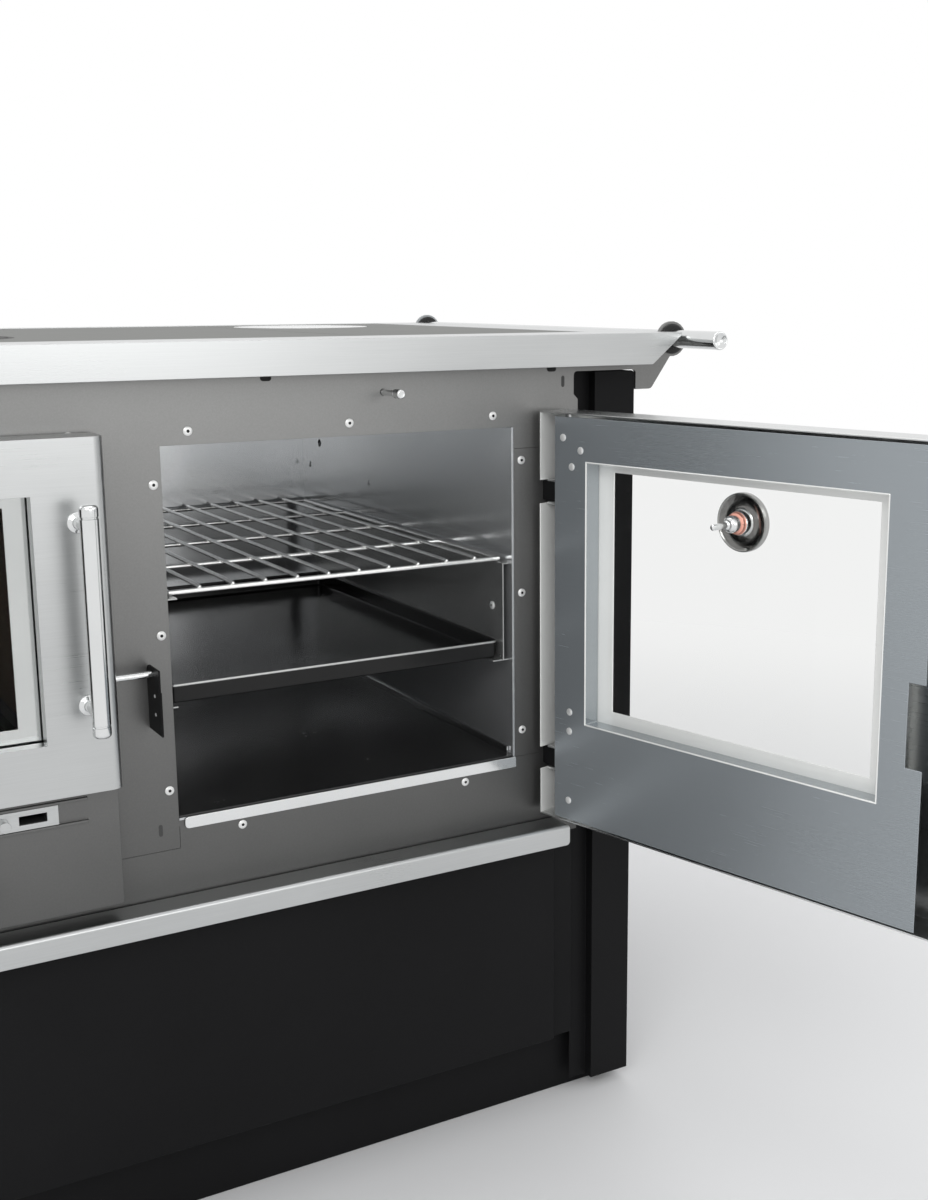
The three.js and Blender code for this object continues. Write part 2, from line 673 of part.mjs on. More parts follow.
stove.add(piece('flue_cover', steppedDisc(FLUE_X, FLUE_Y, FLUE_RADIUS, hobBottom, hobTop, SEAT), 'polished'));

// ---------------------------------------------------------------- rails
/** Collar with a flange on each side of the plate. */
function collar(x, plateY) {
  const play = SEAT;
  const [a, b] = [-COLLAR_FLANGE_THICK - play, PLATE + play + COLLAR_FLANGE_THICK];
  const profile = [
    [RAIL_RADIUS + play, a], [COLLAR_FLANGE - 1, a], [COLLAR_FLANGE, a + 1], [COLLAR_FLANGE, -play],
    [EYE_HOLE - play, -play], [EYE_HOLE - play, PLATE + play], [COLLAR_FLANGE, PLATE + play],
    [COLLAR_FLANGE, b - 1], [COLLAR_FLANGE - 1, b], [RAIL_RADIUS + play, b], [RAIL_RADIUS + play, a],
  ];
  return turned(profile, 'y', [x, plateY, railZ], 24);
}
for (const [side, sx] of [['left', -1], ['right', 1]]) {
  const start = frontY - RAIL_FRONT_REACH;
  const length = rearY + RAIL_REAR_REACH - start;
  const tube = [
    [0, 0], [RAIL_RADIUS - 1, 0], [RAIL_RADIUS, 1], [RAIL_RADIUS, length - 1],
    [RAIL_RADIUS - 1, length], [RAIL_BORE, length], [RAIL_BORE, RAIL_CAP], [0, RAIL_CAP],
  ];
  stove.add(piece(`rail_${side}`, turned(tube, 'y', [sx * railX, start, railZ], 20), 'polished'));
  stove.add(piece(`collar_front_${side}`, collar(sx * railX, frontY), 'rubber'));
  stove.add(piece(`collar_rear_${side}`, collar(sx * railX, rearY - PLATE), 'rubber'));
}

// ---------------------------------------------------------------- oven
/**
 * Oven liner: box behind the plate whose floor and right wall reach forward through the opening, with a round
 * vent in its right wall and two lugs for the damper flap.
 */
function ovenLiner() {
  const w = LINER_WALL;
  const behind = plateBackY + SEAT;
  const shell = cut(
    join(
      box(linerLeft - w, linerRight + w, behind, linerBack + w, linerBottom - w, linerTop + w),
      box(openLeft + SEAT, linerRight + w, linerFront, behind + 1, linerBottom - w, openTop - SEAT),
    ),
    box(linerLeft, linerRight, linerFront - 1, linerBack, linerBottom, linerTop),
    bar(LINER_HOLE_RADIUS, w + 2, 'x', [linerRight - 1, frontY + LINER_HOLE_DEPTH, ovenFloorZ + LINER_HOLE_RISE], 12),
  );
  const lugs = [];
  for (const sx of [-1, 1]) {
    const near = DAMPER_X + sx * (FLAP_WIDTH / 2 + RUN);
    const far = near + sx * LUG_SHEET;
    const lug = cut(
      box(Math.min(near, far), Math.max(near, far), flapY - LUG_WIDTH / 2, flapY + LUG_WIDTH / 2,
        linerTop + w / 2, flapZ + LUG_WIDTH / 3),
      bar(FLAP_PIN + SEAT, LUG_SHEET + 2, 'x', [Math.min(near, far) - 1, flapY, flapZ], 12),
    );
    lugs.push(lug);
  }
  return join(shell, ...lugs);
}
stove.add(piece('oven_liner', ovenLiner(), 'stainless'));

/** Oven floor: loose plate on the liner's floor, narrower where it passes through the opening. */
function ovenFloor() {
  const [right, back] = [linerRight - SEAT, linerBack - SEAT];
  const behind = plateBackY + SEAT;
  return join(
    box(linerLeft + SEAT, right, behind, back, linerBottom + SEAT, ovenFloorZ),
    box(openLeft + SEAT, right, linerFront, behind + 1, linerBottom + SEAT, ovenFloorZ),
  );
}
stove.add(piece('oven_floor', ovenFloor(), 'enamel'));

/** Sill: a bright strip in front of the plate along the opening's lower edge. */
function ovenSill() {
  const outline = roundedRect(openLeft + SILL_END_TRIM, openRight, sillTop - SILL_FACE, sillTop,
    [SILL_CORNER, 1, 1, SILL_CORNER]);
  return plateXZ(outline, frontY - SEAT - SILL_SHEET, frontY - SEAT);
}
stove.add(piece('oven_sill', ovenSill(), 'stainless'));

/** Right rack support: a channel whose flanges point to the liner wall, with a ledge for the tray inside. */
function rackSupportRight() {
  const [front, back] = [frontY + RACK_FRONT, frontY + RACK_FRONT + RACK_LENGTH];
  const tip = linerRight - SEAT;
  return join(
    cut(
      box(rackRight, tip, front, back, rackBottom, rackTop),
      box(rackRight + RACK_SHEET, tip + 1, front - 1, back + 1, rackBottom + RACK_SHEET, rackTop - RACK_SHEET),
    ),
    box(rackRight - RACK_LEDGE, rackRight + RACK_SHEET / 2, front, back, rackBottom, rackBottom + RACK_SHEET),
  );
}

/** Left rack support: a channel against the liner wall whose flanges carry the grid and the tray. */
function rackSupportLeft() {
  const [front, back] = [frontY + RACK_FRONT, frontY + RACK_FRONT + RACK_LENGTH];
  const [web, tip] = [rackLeft + RACK_SHEET, rackLeft + RACK_FLANGE];
  return cut(
    box(rackLeft, tip, front, back, rackBottom, rackTop),
    box(web, tip + 1, front - 1, back + 1, rackBottom + RACK_SHEET, rackTop - RACK_SHEET),
    box(rackLeft + RACK_LEDGE, tip + 1, front - 1, back + 1, rackBottom - 1, rackBottom + RACK_SHEET + 1),
  );
}
stove.add(piece('rack_support_left', rackSupportLeft(), 'stainless'));
stove.add(piece('rack_support_right', rackSupportRight(), 'stainless'));

/** Wire grid: a frame of bars with front-to-back wires laid over cross bars. */
function ovenGrid() {
  const right = linerRight - RACK_OFFSET / 2 - 1;
  const left = 2 * OVEN_CENTRE_X - right;
  const front = frontY + GRID_FRONT;
  const z = rackTop + SEAT + GRID_BAR;
  const lift = GRID_BAR + GRID_WIRE * 0.55;
  const parts = [];
  const along = (x, radius, height, y0, y1) => bar(radius, y1 - y0, 'y', [x, y0, height], 8);
  parts.push(along(left, GRID_BAR, z, front, front + GRID_DEPTH));
  parts.push(along(right, GRID_BAR, z, front, front + GRID_DEPTH));
  for (let i = 0; i < GRID_BARS; i += 1) {
    const y = front + GRID_BAR + (GRID_DEPTH - 2 * GRID_BAR) * i / (GRID_BARS - 1);
    parts.push(bar(GRID_BAR, right - left, 'x', [left, y, z], 8));
  }
  const first = (left + right) / 2 - GRID_PITCH * (GRID_WIRES - 1) / 2;
  for (let i = 0; i < GRID_WIRES; i += 1) {
    parts.push(along(first + GRID_PITCH * i, GRID_WIRE, z + lift, front - 1, front + GRID_DEPTH + 1));
  }
  return join(...parts);
}
stove.add(piece('oven_grid', ovenGrid(), 'polished'));

/** Baking tray: shallow pan with a turned-out rim. */
function bakingTray() {
  const z0 = rackBottom + RACK_SHEET + SEAT;
  const z1 = z0 + TRAY_HEIGHT;
  const [x0, x1] = [rackLeft + TRAY_LEFT_PLAY, rackRight - 1];
  const [y0, y1] = [frontY + TRAY_FRONT, frontY + TRAY_FRONT + TRAY_DEPTH];
  const s = TRAY_SHEET;
  const i = TRAY_RIM;
  return cut(
    join(
      box(x0 + i - s, x1 - i + s, y0 + i - s, y1 - i + s, z0, z1),
      box(x0, x1, y0, y1, z1 - s, z1),
    ),
    box(x0 + i, x1 - i, y0 + i, y1 - i, z0 + s, z1 + 1),
  );
}
stove.add(piece('baking_tray', bakingTray(), 'enamel'));

// ---------------------------------------------------------------- damper
/** Damper pull rod with its turned knob. */
function damperRod() {
  const start = frontY - DAMPER_REACH;
  const length = flapY + DAMPER_TAIL - start;
  const profile = [
    [0, 0], [DAMPER_KNOB - 0.8, 0], [DAMPER_KNOB, 0.8], [DAMPER_KNOB, DAMPER_KNOB_LENGTH],
    [DAMPER_ROD, DAMPER_KNOB_LENGTH + 1], [DAMPER_ROD, length], [0, length],
  ];
  return turned(profile, 'y', [DAMPER_X, start, damperZ], 12);
}
stove.add(piece('damper_rod', damperRod(), 'polished'));

/** Damper flap: a plate that hangs from a pin just above the rod. */
function damperFlap() {
  const half = FLAP_WIDTH / 2;
  const reach = half + FLAP_PIN_REACH;
  return join(
    bar(FLAP_PIN, reach * 2, 'x', [DAMPER_X - reach, flapY, flapZ], 12),
    box(DAMPER_X - half, DAMPER_X + half, flapY - FLAP_SHEET / 2, flapY + FLAP_SHEET / 2,
      damperZ + DAMPER_ROD + SEAT * 2, flapZ),
  );
}
stove.add(piece('damper_flap', damperFlap(), 'castIron'));

// ---------------------------------------------------------------- firebox
const boxLeft = FIRE_X - FIREBOX_WIDTH / 2;
const boxRight = FIRE_X + FIREBOX_WIDTH / 2;
const boxFront = plateBackY + SEAT;
const boxBack = boxFront + FIREBOX_DEPTH;
const boxTop = hobBottom - SEAT - WALL - SEAT;
const grateY = (boxFront + boxBack) / 2;

/** Firebox shell: fire chamber over an ash bay, joined through the grate's seat. */
function fireboxShell() {
  const w = FIREBOX_WALL;
  const [gx, gy] = [GRATE_WIDTH / 2 + RUN / 2, GRATE_DEPTH / 2 + RUN / 2];
  const seatZ = hearthZ - GRATE_THICK;
  return cut(
    box(boxLeft, boxRight, boxFront, boxBack, shelfZ + SEAT, boxTop),
    box(boxLeft + w, boxRight - w, boxFront - 1, boxBack - w, hearthZ, boxTop + 1),
    box(boxLeft + w, boxRight - w, boxFront - 1, boxBack - w, ashFloorZ, ashRoofZ),
    box(FIRE_X - gx, FIRE_X + gx, grateY - gy, grateY + gy, seatZ, hearthZ + 1),
    box(FIRE_X - gx + GRATE_LEDGE, FIRE_X + gx - GRATE_LEDGE, grateY - gy + GRATE_LEDGE, grateY + gy - GRATE_LEDGE,
      ashRoofZ - 1, seatZ + 1),
  );
}
stove.add(piece('firebox_shell', fireboxShell(), 'castIron'));

/** Fire grate: a slab with long slots. */
function fireGrate() {
  const [hx, hy] = [GRATE_WIDTH / 2, GRATE_DEPTH / 2];
  const z0 = hearthZ - GRATE_THICK + SEAT;
  const slots = [];
  for (let i = 0; i < GRATE_SLOTS; i += 1) {
    const x = FIRE_X + (i - (GRATE_SLOTS - 1) / 2) * GRATE_WIDTH / (GRATE_SLOTS + 0.5);
    slots.push(box(x - GRATE_SLOT / 2, x + GRATE_SLOT / 2, grateY - hy + BRICK / 2, grateY + hy - BRICK / 2,
      z0 - 1, hearthZ + 1));
  }
  return cut(box(FIRE_X - hx, FIRE_X + hx, grateY - hy, grateY + hy, z0, hearthZ), ...slots);
}
stove.add(piece('fire_grate', fireGrate(), 'castIron'));

const brickZ = hearthZ + SEAT;
const wallIn = FIREBOX_WALL + SEAT;
const brickFront = boxFront + BRICK;
const sideBrickBack = boxBack - wallIn;
stove.add(piece('firebrick_left', box(boxLeft + wallIn, boxLeft + wallIn + BRICK, brickFront, sideBrickBack,
  brickZ, brickZ + BRICK_HEIGHT), 'brick'));
stove.add(piece('firebrick_right', box(boxRight - wallIn - BRICK, boxRight - wallIn, brickFront, sideBrickBack,
  brickZ, brickZ + BRICK_HEIGHT), 'brick'));
stove.add(piece('firebrick_back', box(boxLeft + wallIn + BRICK + SEAT, boxRight - wallIn - BRICK - SEAT,
  sideBrickBack - BRICK, sideBrickBack, brickZ, brickZ + BRICK_HEIGHT), 'brick'));

// ---------------------------------------------------------------- ash drawer
const ashFrontBack = frontY - ASH_FRONT_GAP;
const ashFrontFace = ashFrontBack - ASH_FRONT_THICK;
const ashSlotZ = doorZ + AIR_SLOT_RISE;

/** Open-topped drawer box. */
function drawerBox(x0, x1, y0, y1, z0, z1, sheet) {
  return cut(
    box(x0, x1, y0, y1, z0, z1),
    box(x0 + sheet, x1 - sheet, y0 + sheet, y1 - sheet, z0 + sheet, z1 + 1),
  );
}
const ashBox = drawerBox(FIRE_X - ASH_BOX_WIDTH / 2, FIRE_X + ASH_BOX_WIDTH / 2, ashFrontBack + SEAT,
  ashFrontBack + SEAT + ASH_BOX_DEPTH, ashFloorZ + SEAT, ashFloorZ + SEAT + ASH_BOX_HEIGHT, ASH_SHEET);
stove.add(piece('ash_drawer_box', ashBox, 'galvanised'));

/** Boxes of the air slots, moved sideways. */
function airSlots(y0, y1) {
  const list = [];
  for (let i = 0; i < AIR_SLOTS; i += 1) {
    const x = FIRE_X + (i - (AIR_SLOTS - 1) / 2) * AIR_SLOT_PITCH;
    list.push(box(x - AIR_SLOT_WIDTH / 2, x + AIR_SLOT_WIDTH / 2, y0, y1,
      ashSlotZ - AIR_SLOT_HEIGHT / 2, ashSlotZ + AIR_SLOT_HEIGHT / 2));
  }
  return list;
}
const slideHalfHeight = AIR_SLOT_HEIGHT / 2 + AIR_SLIDE_MARGIN;
const slideHalfWidth = (AIR_SLOTS - 1) * AIR_SLOT_PITCH / 2 + AIR_SLOT_WIDTH / 2 + AIR_SLIDE_MARGIN * 2;

/** Ash drawer front: panel with air slots, slide guides and a turned knob. */
function ashFront() {
  const knobZ = doorZ + ASH_FRONT_HEIGHT * 0.42;
  const knob = [
    [0, 0], [ASH_KNOB_RADIUS * 0.85, 0], [ASH_KNOB_RADIUS, 3], [ASH_KNOB_RADIUS, 9],
    [ASH_KNOB_RADIUS * 0.5, 12], [ASH_KNOB_RADIUS * 0.5, ASH_KNOB_REACH + 1], [0, ASH_KNOB_REACH + 1],
  ];
  const guides = [-1, 1].map((sz) => {
    const near = ashSlotZ + sz * (slideHalfHeight + SEAT);
    const far = near + sz * AIR_GUIDE;
    const reach = slideHalfWidth + AIR_SLOT_PITCH / 2;
    return box(FIRE_X - reach, FIRE_X + reach, ashFrontFace - AIR_SLIDE_SHEET - 1, ashFrontFace + 1,
      Math.min(near, far), Math.max(near, far));
  });
  const outline = roundedRect(-DOOR_OUTER_X, fireDoorRight, doorZ, doorZ + ASH_FRONT_HEIGHT, [3, 3, 3, 3], 3);
  return cut(
    join(
      plateXZ(outline, ashFrontFace, ashFrontBack),
      turned(knob, 'y', [FIRE_X, ashFrontFace - ASH_KNOB_REACH, knobZ], 20),
      ...guides,
    ),
    ...airSlots(ashFrontFace - 1, ashFrontBack + 1),
  );
}
stove.add(piece('ash_drawer_front', ashFront(), 'plate'));

/** Air slide: slotted strip with a small knob. */
function airSlide() {
  const back = ashFrontFace - SEAT;
  const front = back - AIR_SLIDE_SHEET;
  const knobX = FIRE_X + AIR_SLOT_PITCH / 2;
  return join(
    cut(
      box(FIRE_X - slideHalfWidth, FIRE_X + slideHalfWidth, front, back, ashSlotZ - slideHalfHeight,
        ashSlotZ + slideHalfHeight),
      ...airSlots(front - 1, back + 1),
    ),
    bar(AIR_KNOB_RADIUS, AIR_KNOB_REACH + 0.5, 'y', [knobX, front - AIR_KNOB_REACH, ashSlotZ], 16),
  );
}
stove.add(piece('air_slide', airSlide(), 'stainless'));

// ---------------------------------------------------------------- wood drawer
const drawerFrontHalf = mouthHalf - RUN;
const drawerTop = shelfZ - BAY_HEAD - RUN;
const drawerBottom = plinthTopZ + WALL + RUN;
stove.add(piece('wood_drawer_front', plateXZ(
  roundedRect(-drawerFrontHalf, drawerFrontHalf, drawerBottom, drawerTop, [2, 2, 2, 2], 2),
  drawerFace, drawerFrontBack,
), 'black'));
const drawerSeatZ = plinthTopZ + WALL + DRAWER_LEDGE_HEIGHT + SEAT;
stove.add(piece('wood_drawer_box', drawerBox(-mouthHalf + DRAWER_BOX_SIDE, mouthHalf - DRAWER_BOX_SIDE,
  drawerFrontBack + SEAT, drawerFrontBack + SEAT + DRAWER_BOX_DEPTH, drawerSeatZ,
  drawerSeatZ + DRAWER_BOX_HEIGHT, DRAWER_SHEET), 'black'));

/** Grip: a bright channel along the top of the drawer's front, with rounded ends. */
function drawerGrip() {
  const [y0, y1] = [-TOP_DEPTH / 2, frontY - RUN];
  const [z0, z1] = [shelfZ - GRIP_HEIGHT + 0.6, shelfZ + 0.6];
  const r = GRIP_CORNER;
  const outer = roundedRect(y0, y1, z0, z1, [0, 0, 1, r]);
  const s = GRIP_SHEET;
  const half = GRIP_HALF_WIDTH;
  const faceOutline = roundedRect(-half, half, z0, z1, [r, r, r, r]);
  const channel = prismYZ(outer, -half, half).intersect(plateXZ(faceOutline, y0 - 1, y1 + 1));
  const hollow = box(-half + s, half - s, y0 + s, y1 - s, z0 - 1, z1 - s);
  const foot = box(-half + r, half - r, y1 - s, y1, drawerTop + SEAT, z0 + 1);
  return join(cut(channel, hollow), foot);
}
stove.add(piece('wood_drawer_grip', drawerGrip(), 'stainless'));

// ---------------------------------------------------------------- doors
/**
 * Leaf of a door in its closed place, hinged on the side that hingeSign gives.
 * The returned pieces share one place for the sheet thicknesses, the window and the notches.
 */
function doorLeaf(spec) {
  const { x0, x1, z0, z1, sx, windowBottom, hinges } = spec;
  const t = DOOR_SHEET;
  const [back, face] = [doorBack, doorFront];
  const hingeX = sx > 0 ? x1 : x0;
  const latchX = sx > 0 ? x0 : x1;
  const c = DOOR_CORNER;
  const outline = roundedRect(x0, x1, face, back, [c, c, 0, 0], 5);
  const inner = roundedRect(x0 + t, x1 - t, face + t, back + 1, [c - t, c - t, 0, 0], 5);
  const [panelLeft, panelRight] = [x0 + PANEL_INSET, x1 - PANEL_INSET];
  const [panelLow, panelHigh] = [z0 + PANEL_BOTTOM_INSET, z1 - PANEL_TOP_INSET];
  const win = {
    x0: panelLeft + WINDOW_SIDE, x1: panelRight - WINDOW_SIDE,
    z0: panelLow + windowBottom, z1: panelHigh - WINDOW_TOP,
  };
  const frameBack = back - REVEAL_DEPTH - SEAT;
  const frameFace = frameBack - t;
  const glassBack = frameFace - SEAT;
  const glassFace = glassBack - GLASS_THICK;
  const lipBack = glassFace - SEAT;

  let shell = cut(prismXY(outline, z0, z1), prismXY(inner, z0 + t, z1 - t));
  shell = shell.add(box(win.x0 - t, win.x1 + t, face + t / 2, lipBack, win.z0 - t, win.z1 + t));
  shell = shell.subtract(box(win.x0, win.x1, face - 1, lipBack + 1, win.z0, win.z1));
  const px = hingeX - sx * PIN_INSET;
  for (const rise of hinges) {
    const z = z0 + rise;
    const half = HINGE_HEIGHT / 2 + NOTCH_PLAY;
    const [a, b] = [hingeX - sx * (t + 1), hingeX + sx].sort((p, q) => p - q);
    shell = shell.subtract(box(a, b, back - HINGE_NOTCH_DEPTH, back + 1, z - half, z + half));
    for (const sz of [-1, 1]) {
      const near = z + sz * (HINGE_HEIGHT / 2 + TAB_PLAY);
      const far = near + sz * TAB_SHEET;
      const [lo, hi] = [Math.min(near, far), Math.max(near, far)];
      const tab = cut(
        box(px - TAB_WIDTH / 2, px + TAB_WIDTH / 2, face + t / 2, pinY + TAB_WIDTH / 2 - 2, lo, hi),
        bar(PIN_RADIUS + SEAT, TAB_SHEET + 2, 'z', [px, pinY, lo - 1], 12),
      );
      shell = shell.add(tab);
    }
  }
  const [na, nb] = [latchX - 1, latchX + 1].map((v) => v + (sx > 0 ? 1 : -1) * 0.5);
  const notchHalf = CATCH_ROD_RADIUS + CATCH_NOTCH_PLAY;
  shell = shell.subtract(box(na - 1, nb + 1, catchRodY - notchHalf, back + 1,
    catchRodZ - notchHalf, catchRodZ + notchHalf));

  const plate = plateXZ(rect(panelLeft, panelRight, panelLow, panelHigh), back - t, back,
    [rect(win.x0, win.x1, win.z0, win.z1)]);
  const tube = cut(
    box(win.x0 - t, win.x1 + t, back - REVEAL_DEPTH, back - t / 2, win.z0 - t, win.z1 + t),
    box(win.x0, win.x1, back - REVEAL_DEPTH - 1, back + 1, win.z0, win.z1),
  );
  const plateLatch = sx > 0 ? panelLeft : panelRight;
  const catchEdge = sx > 0 ? catchX : fireCatchX;
  const notchFar = catchEdge + sx * CATCH_NOTCH_PLAY;
  const [ca, cb] = [plateLatch - sx, notchFar].sort((p, q) => p - q);
  const panel = cut(join(plate, tube), box(ca, cb, back - t - 1, back + 1, catchZ - CATCH_NOTCH_PLAY,
    catchZ + CATCH_HEIGHT + CATCH_NOTCH_PLAY));

  const frameHoles = [rect(win.x0 + FRAME_SIDE, win.x1 - FRAME_SIDE, win.z0 + FRAME_BOTTOM, win.z1 - FRAME_TOP)];
  const frame = plateXZ(rect(win.x0 - FRAME_OUTSET, win.x1 + FRAME_OUTSET, win.z0 - FRAME_OUTSET,
    win.z1 + FRAME_OUTSET), frameFace, frameBack, frameHoles);
  const dialX = (win.x0 + win.x1) / 2;
  const dialZ = win.z1 - DIAL_DROP;
  const glassHoles = spec.dial ? [circle(dialX, dialZ, DIAL_STEM + SEAT)] : [];
  const glass = plateXZ(rect(win.x0 - GLASS_OUTSET, win.x1 + GLASS_OUTSET, win.z0 - GLASS_OUTSET,
    win.z1 + GLASS_OUTSET), glassFace, glassBack, glassHoles);

  const handleX = latchX + sx * HANDLE_INSET;
  const handleZ = z0 + spec.handleRise;
  const handleY = face - HANDLE_REACH;
  const posts = [HANDLE_POST * 4, HANDLE_LENGTH - HANDLE_POST * 4].map((dz) => bar(HANDLE_POST,
    HANDLE_REACH - SEAT, 'y', [handleX, handleY, handleZ + dz], 12));
  const grip = [
    [0, 0], [HANDLE_RADIUS - 2, 0], [HANDLE_RADIUS, 2], [HANDLE_RADIUS, HANDLE_LENGTH - 2],
    [HANDLE_RADIUS - 2, HANDLE_LENGTH], [0, HANDLE_LENGTH],
  ];
  const handle = join(turned(grip, 'z', [handleX, handleY, handleZ], 16), ...posts);
  return { shell, panel, frame, glass, handle, dial: { x: dialX, z: dialZ, glassBack, glassFace } };
}

/** Thermometer: dial case outside the glass, nut inside it, and a probe towards the oven. */
function thermometer({ x, z, glassBack, glassFace }) {
  const caseFace = glassFace - SEAT - DIAL_DEPTH;
  const at = (y) => y - caseFace;
  const tip = at(doorBack + PROBE_REACH);
  const nut = at(glassBack + SEAT);
  const profile = [
    [0, 0], [DIAL_RADIUS - 2, 0], [DIAL_RADIUS, 2], [DIAL_RADIUS, at(glassFace - SEAT)],
    [DIAL_STEM, at(glassFace - SEAT)], [DIAL_STEM, nut], [DIAL_NUT, nut], [DIAL_NUT, nut + DIAL_NUT_LENGTH],
    [DIAL_NUT * 0.6, nut + DIAL_NUT_LENGTH + 3], [PROBE_RADIUS, nut + DIAL_NUT_LENGTH + 5],
    [PROBE_RADIUS, tip - 1.5], [PROBE_RADIUS * 0.5, tip], [0, tip],
  ];
  return turned(profile, 'y', [x, caseFace, z], 24);
}

const ovenLeaf = doorLeaf({
  x0: ovenDoorLeft, x1: DOOR_OUTER_X, z0: doorZ, z1: doorTop, sx: 1,
  windowBottom: WINDOW_BOTTOM, hinges: [HINGE_LOW_RISE, HINGE_TOP_RISE], handleRise: HANDLE_RISE, dial: true,
});
const ovenDoor = new THREE.Group();
ovenDoor.position.set(pinX, pinY, 0);
ovenDoor.rotation.z = THREE.MathUtils.degToRad(OVEN_OPEN_ANGLE);
const ovenDoorParts = new THREE.Group();
ovenDoorParts.position.set(-pinX, -pinY, 0);
ovenDoorParts.add(piece('oven_door_shell', ovenLeaf.shell, 'polished'));
ovenDoorParts.add(piece('oven_door_panel', ovenLeaf.panel, 'panel'));
ovenDoorParts.add(piece('oven_glass_frame', ovenLeaf.frame, 'stainless'));
ovenDoorParts.add(piece('oven_glass', ovenLeaf.glass, 'glass'));
ovenDoorParts.add(piece('oven_handle', ovenLeaf.handle, 'stainless'));
ovenDoorParts.add(piece('oven_thermometer', thermometer(ovenLeaf.dial), 'polished'));
ovenDoor.add(ovenDoorParts);
stove.add(ovenDoor);

const fireLeaf = doorLeaf({
  x0: -DOOR_OUTER_X, x1: fireDoorRight, z0: fireDoorZ, z1: doorTop, sx: -1,
  windowBottom: FIRE_WINDOW_BOTTOM, hinges: [FIRE_HINGE_LOW_RISE, HINGE_TOP_RISE - (fireDoorZ - doorZ)],
  handleRise: FIRE_HANDLE_RISE, dial: false,
});
stove.add(piece('fire_door_shell', fireLeaf.shell, 'polished'));
stove.add(piece('fire_door_panel', fireLeaf.panel, 'castIron'));
stove.add(piece('fire_glass_frame', fireLeaf.frame, 'stainless'));
stove.add(piece('fire_glass', fireLeaf.glass, 'glass'));
stove.add(piece('fire_handle', fireLeaf.handle, 'stainless'));

/** Hinge bracket: an arm from the front plate with a pin through its end. */
function hingeBracket(x, z) {
  const half = HINGE_HEIGHT / 2;
  const stub = TAB_PLAY + TAB_SHEET + 1;
  return join(
    box(x - HINGE_WIDTH / 2, x + HINGE_WIDTH / 2, pinY - HINGE_REACH, frontY - SEAT, z - half, z + half),
    bar(PIN_RADIUS, HINGE_HEIGHT + 2 * stub, 'z', [x, pinY, z - half - stub], 12),
  );
}
stove.add(piece('oven_hinge_upper', hingeBracket(pinX, doorZ + HINGE_TOP_RISE), 'black'));
stove.add(piece('oven_hinge_lower', hingeBracket(pinX, doorZ + HINGE_LOW_RISE), 'black'));
stove.add(piece('fire_hinge_upper', hingeBracket(-pinX, doorZ + HINGE_TOP_RISE), 'black'));
stove.add(piece('fire_hinge_lower', hingeBracket(-pinX, fireDoorZ + FIRE_HINGE_LOW_RISE), 'black'));

/** Catch: two plates square to the front, tied by the rod that both doors' latches hook on. */
function doorCatch() {
  const [front, back] = [frontY - CATCH_REACH, frontY - SEAT];
  const shoulder = catchZ + CATCH_SHOULDER;
  const top = roundedRect(front + CATCH_STEP, back, shoulder - 1, catchZ + CATCH_HEIGHT, [0, 0, CATCH_CORNER, 1]);
  const plates = [catchX, fireCatchX - CATCH_SHEET].map((x) => join(
    box(x, x + CATCH_SHEET, front, back, catchZ, shoulder),
    prismYZ(top, x, x + CATCH_SHEET),
  ));
  const start = fireCatchX - CATCH_SHEET;
  const rod = bar(CATCH_ROD_RADIUS, catchX + CATCH_SHEET / 2 - start - CATCH_SHEET / 2, 'x',
    [start + CATCH_SHEET / 2, catchRodY, catchRodZ], 12);
  return join(...plates, rod);
}
stove.add(piece('door_catch', doorCatch(), 'black'));

export default stove;
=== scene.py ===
"""Looks of a wide wood cookstove whose oven door stands open.

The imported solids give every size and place. Sheet parts are taken over with rolled edges, and
round, wired and small parts are made here as parametric surfaces. Lengths in this file are
millimetres until a surface is built, and the door's parts are written in their closed place.
"""
import json
import logging
import math
from abc import ABC, abstractmethod
from dataclasses import dataclass
from enum import Enum
from functools import cache
from typing import Callable, Iterable, Sequence

import bmesh
import bpy
import numpy as np
from mathutils import Matrix, Vector

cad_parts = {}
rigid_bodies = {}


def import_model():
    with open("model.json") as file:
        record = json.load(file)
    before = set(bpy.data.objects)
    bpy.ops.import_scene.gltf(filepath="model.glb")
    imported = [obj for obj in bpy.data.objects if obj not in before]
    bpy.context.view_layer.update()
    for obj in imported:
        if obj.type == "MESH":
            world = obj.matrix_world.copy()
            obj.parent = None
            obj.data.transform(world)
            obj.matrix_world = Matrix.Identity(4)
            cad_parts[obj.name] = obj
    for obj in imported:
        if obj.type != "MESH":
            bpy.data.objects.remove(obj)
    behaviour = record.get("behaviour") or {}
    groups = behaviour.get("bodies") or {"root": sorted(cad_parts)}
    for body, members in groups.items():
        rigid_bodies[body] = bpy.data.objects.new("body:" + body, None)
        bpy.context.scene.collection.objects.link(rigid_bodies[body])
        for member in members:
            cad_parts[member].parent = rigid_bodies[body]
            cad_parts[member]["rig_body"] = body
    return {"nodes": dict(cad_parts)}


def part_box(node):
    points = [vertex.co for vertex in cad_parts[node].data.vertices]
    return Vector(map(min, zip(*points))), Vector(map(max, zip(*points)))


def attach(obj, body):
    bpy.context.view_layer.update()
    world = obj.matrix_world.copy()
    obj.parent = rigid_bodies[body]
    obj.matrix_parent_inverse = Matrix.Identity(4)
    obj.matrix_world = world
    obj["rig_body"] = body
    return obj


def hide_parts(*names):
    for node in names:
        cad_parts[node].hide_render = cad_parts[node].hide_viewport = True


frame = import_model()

Pair = tuple[float, float]
Triple = tuple[float, float, float]
Rect = tuple[float, float, float, float]
Object = bpy.types.Object
Node = bpy.types.Node
Socket = bpy.types.NodeSocket
Inputs = dict[int | str, float | Sequence[float] | Socket]

LOG = logging.getLogger("cookstove")
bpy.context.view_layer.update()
MM = 0.001
SIDES = ("left", "right")

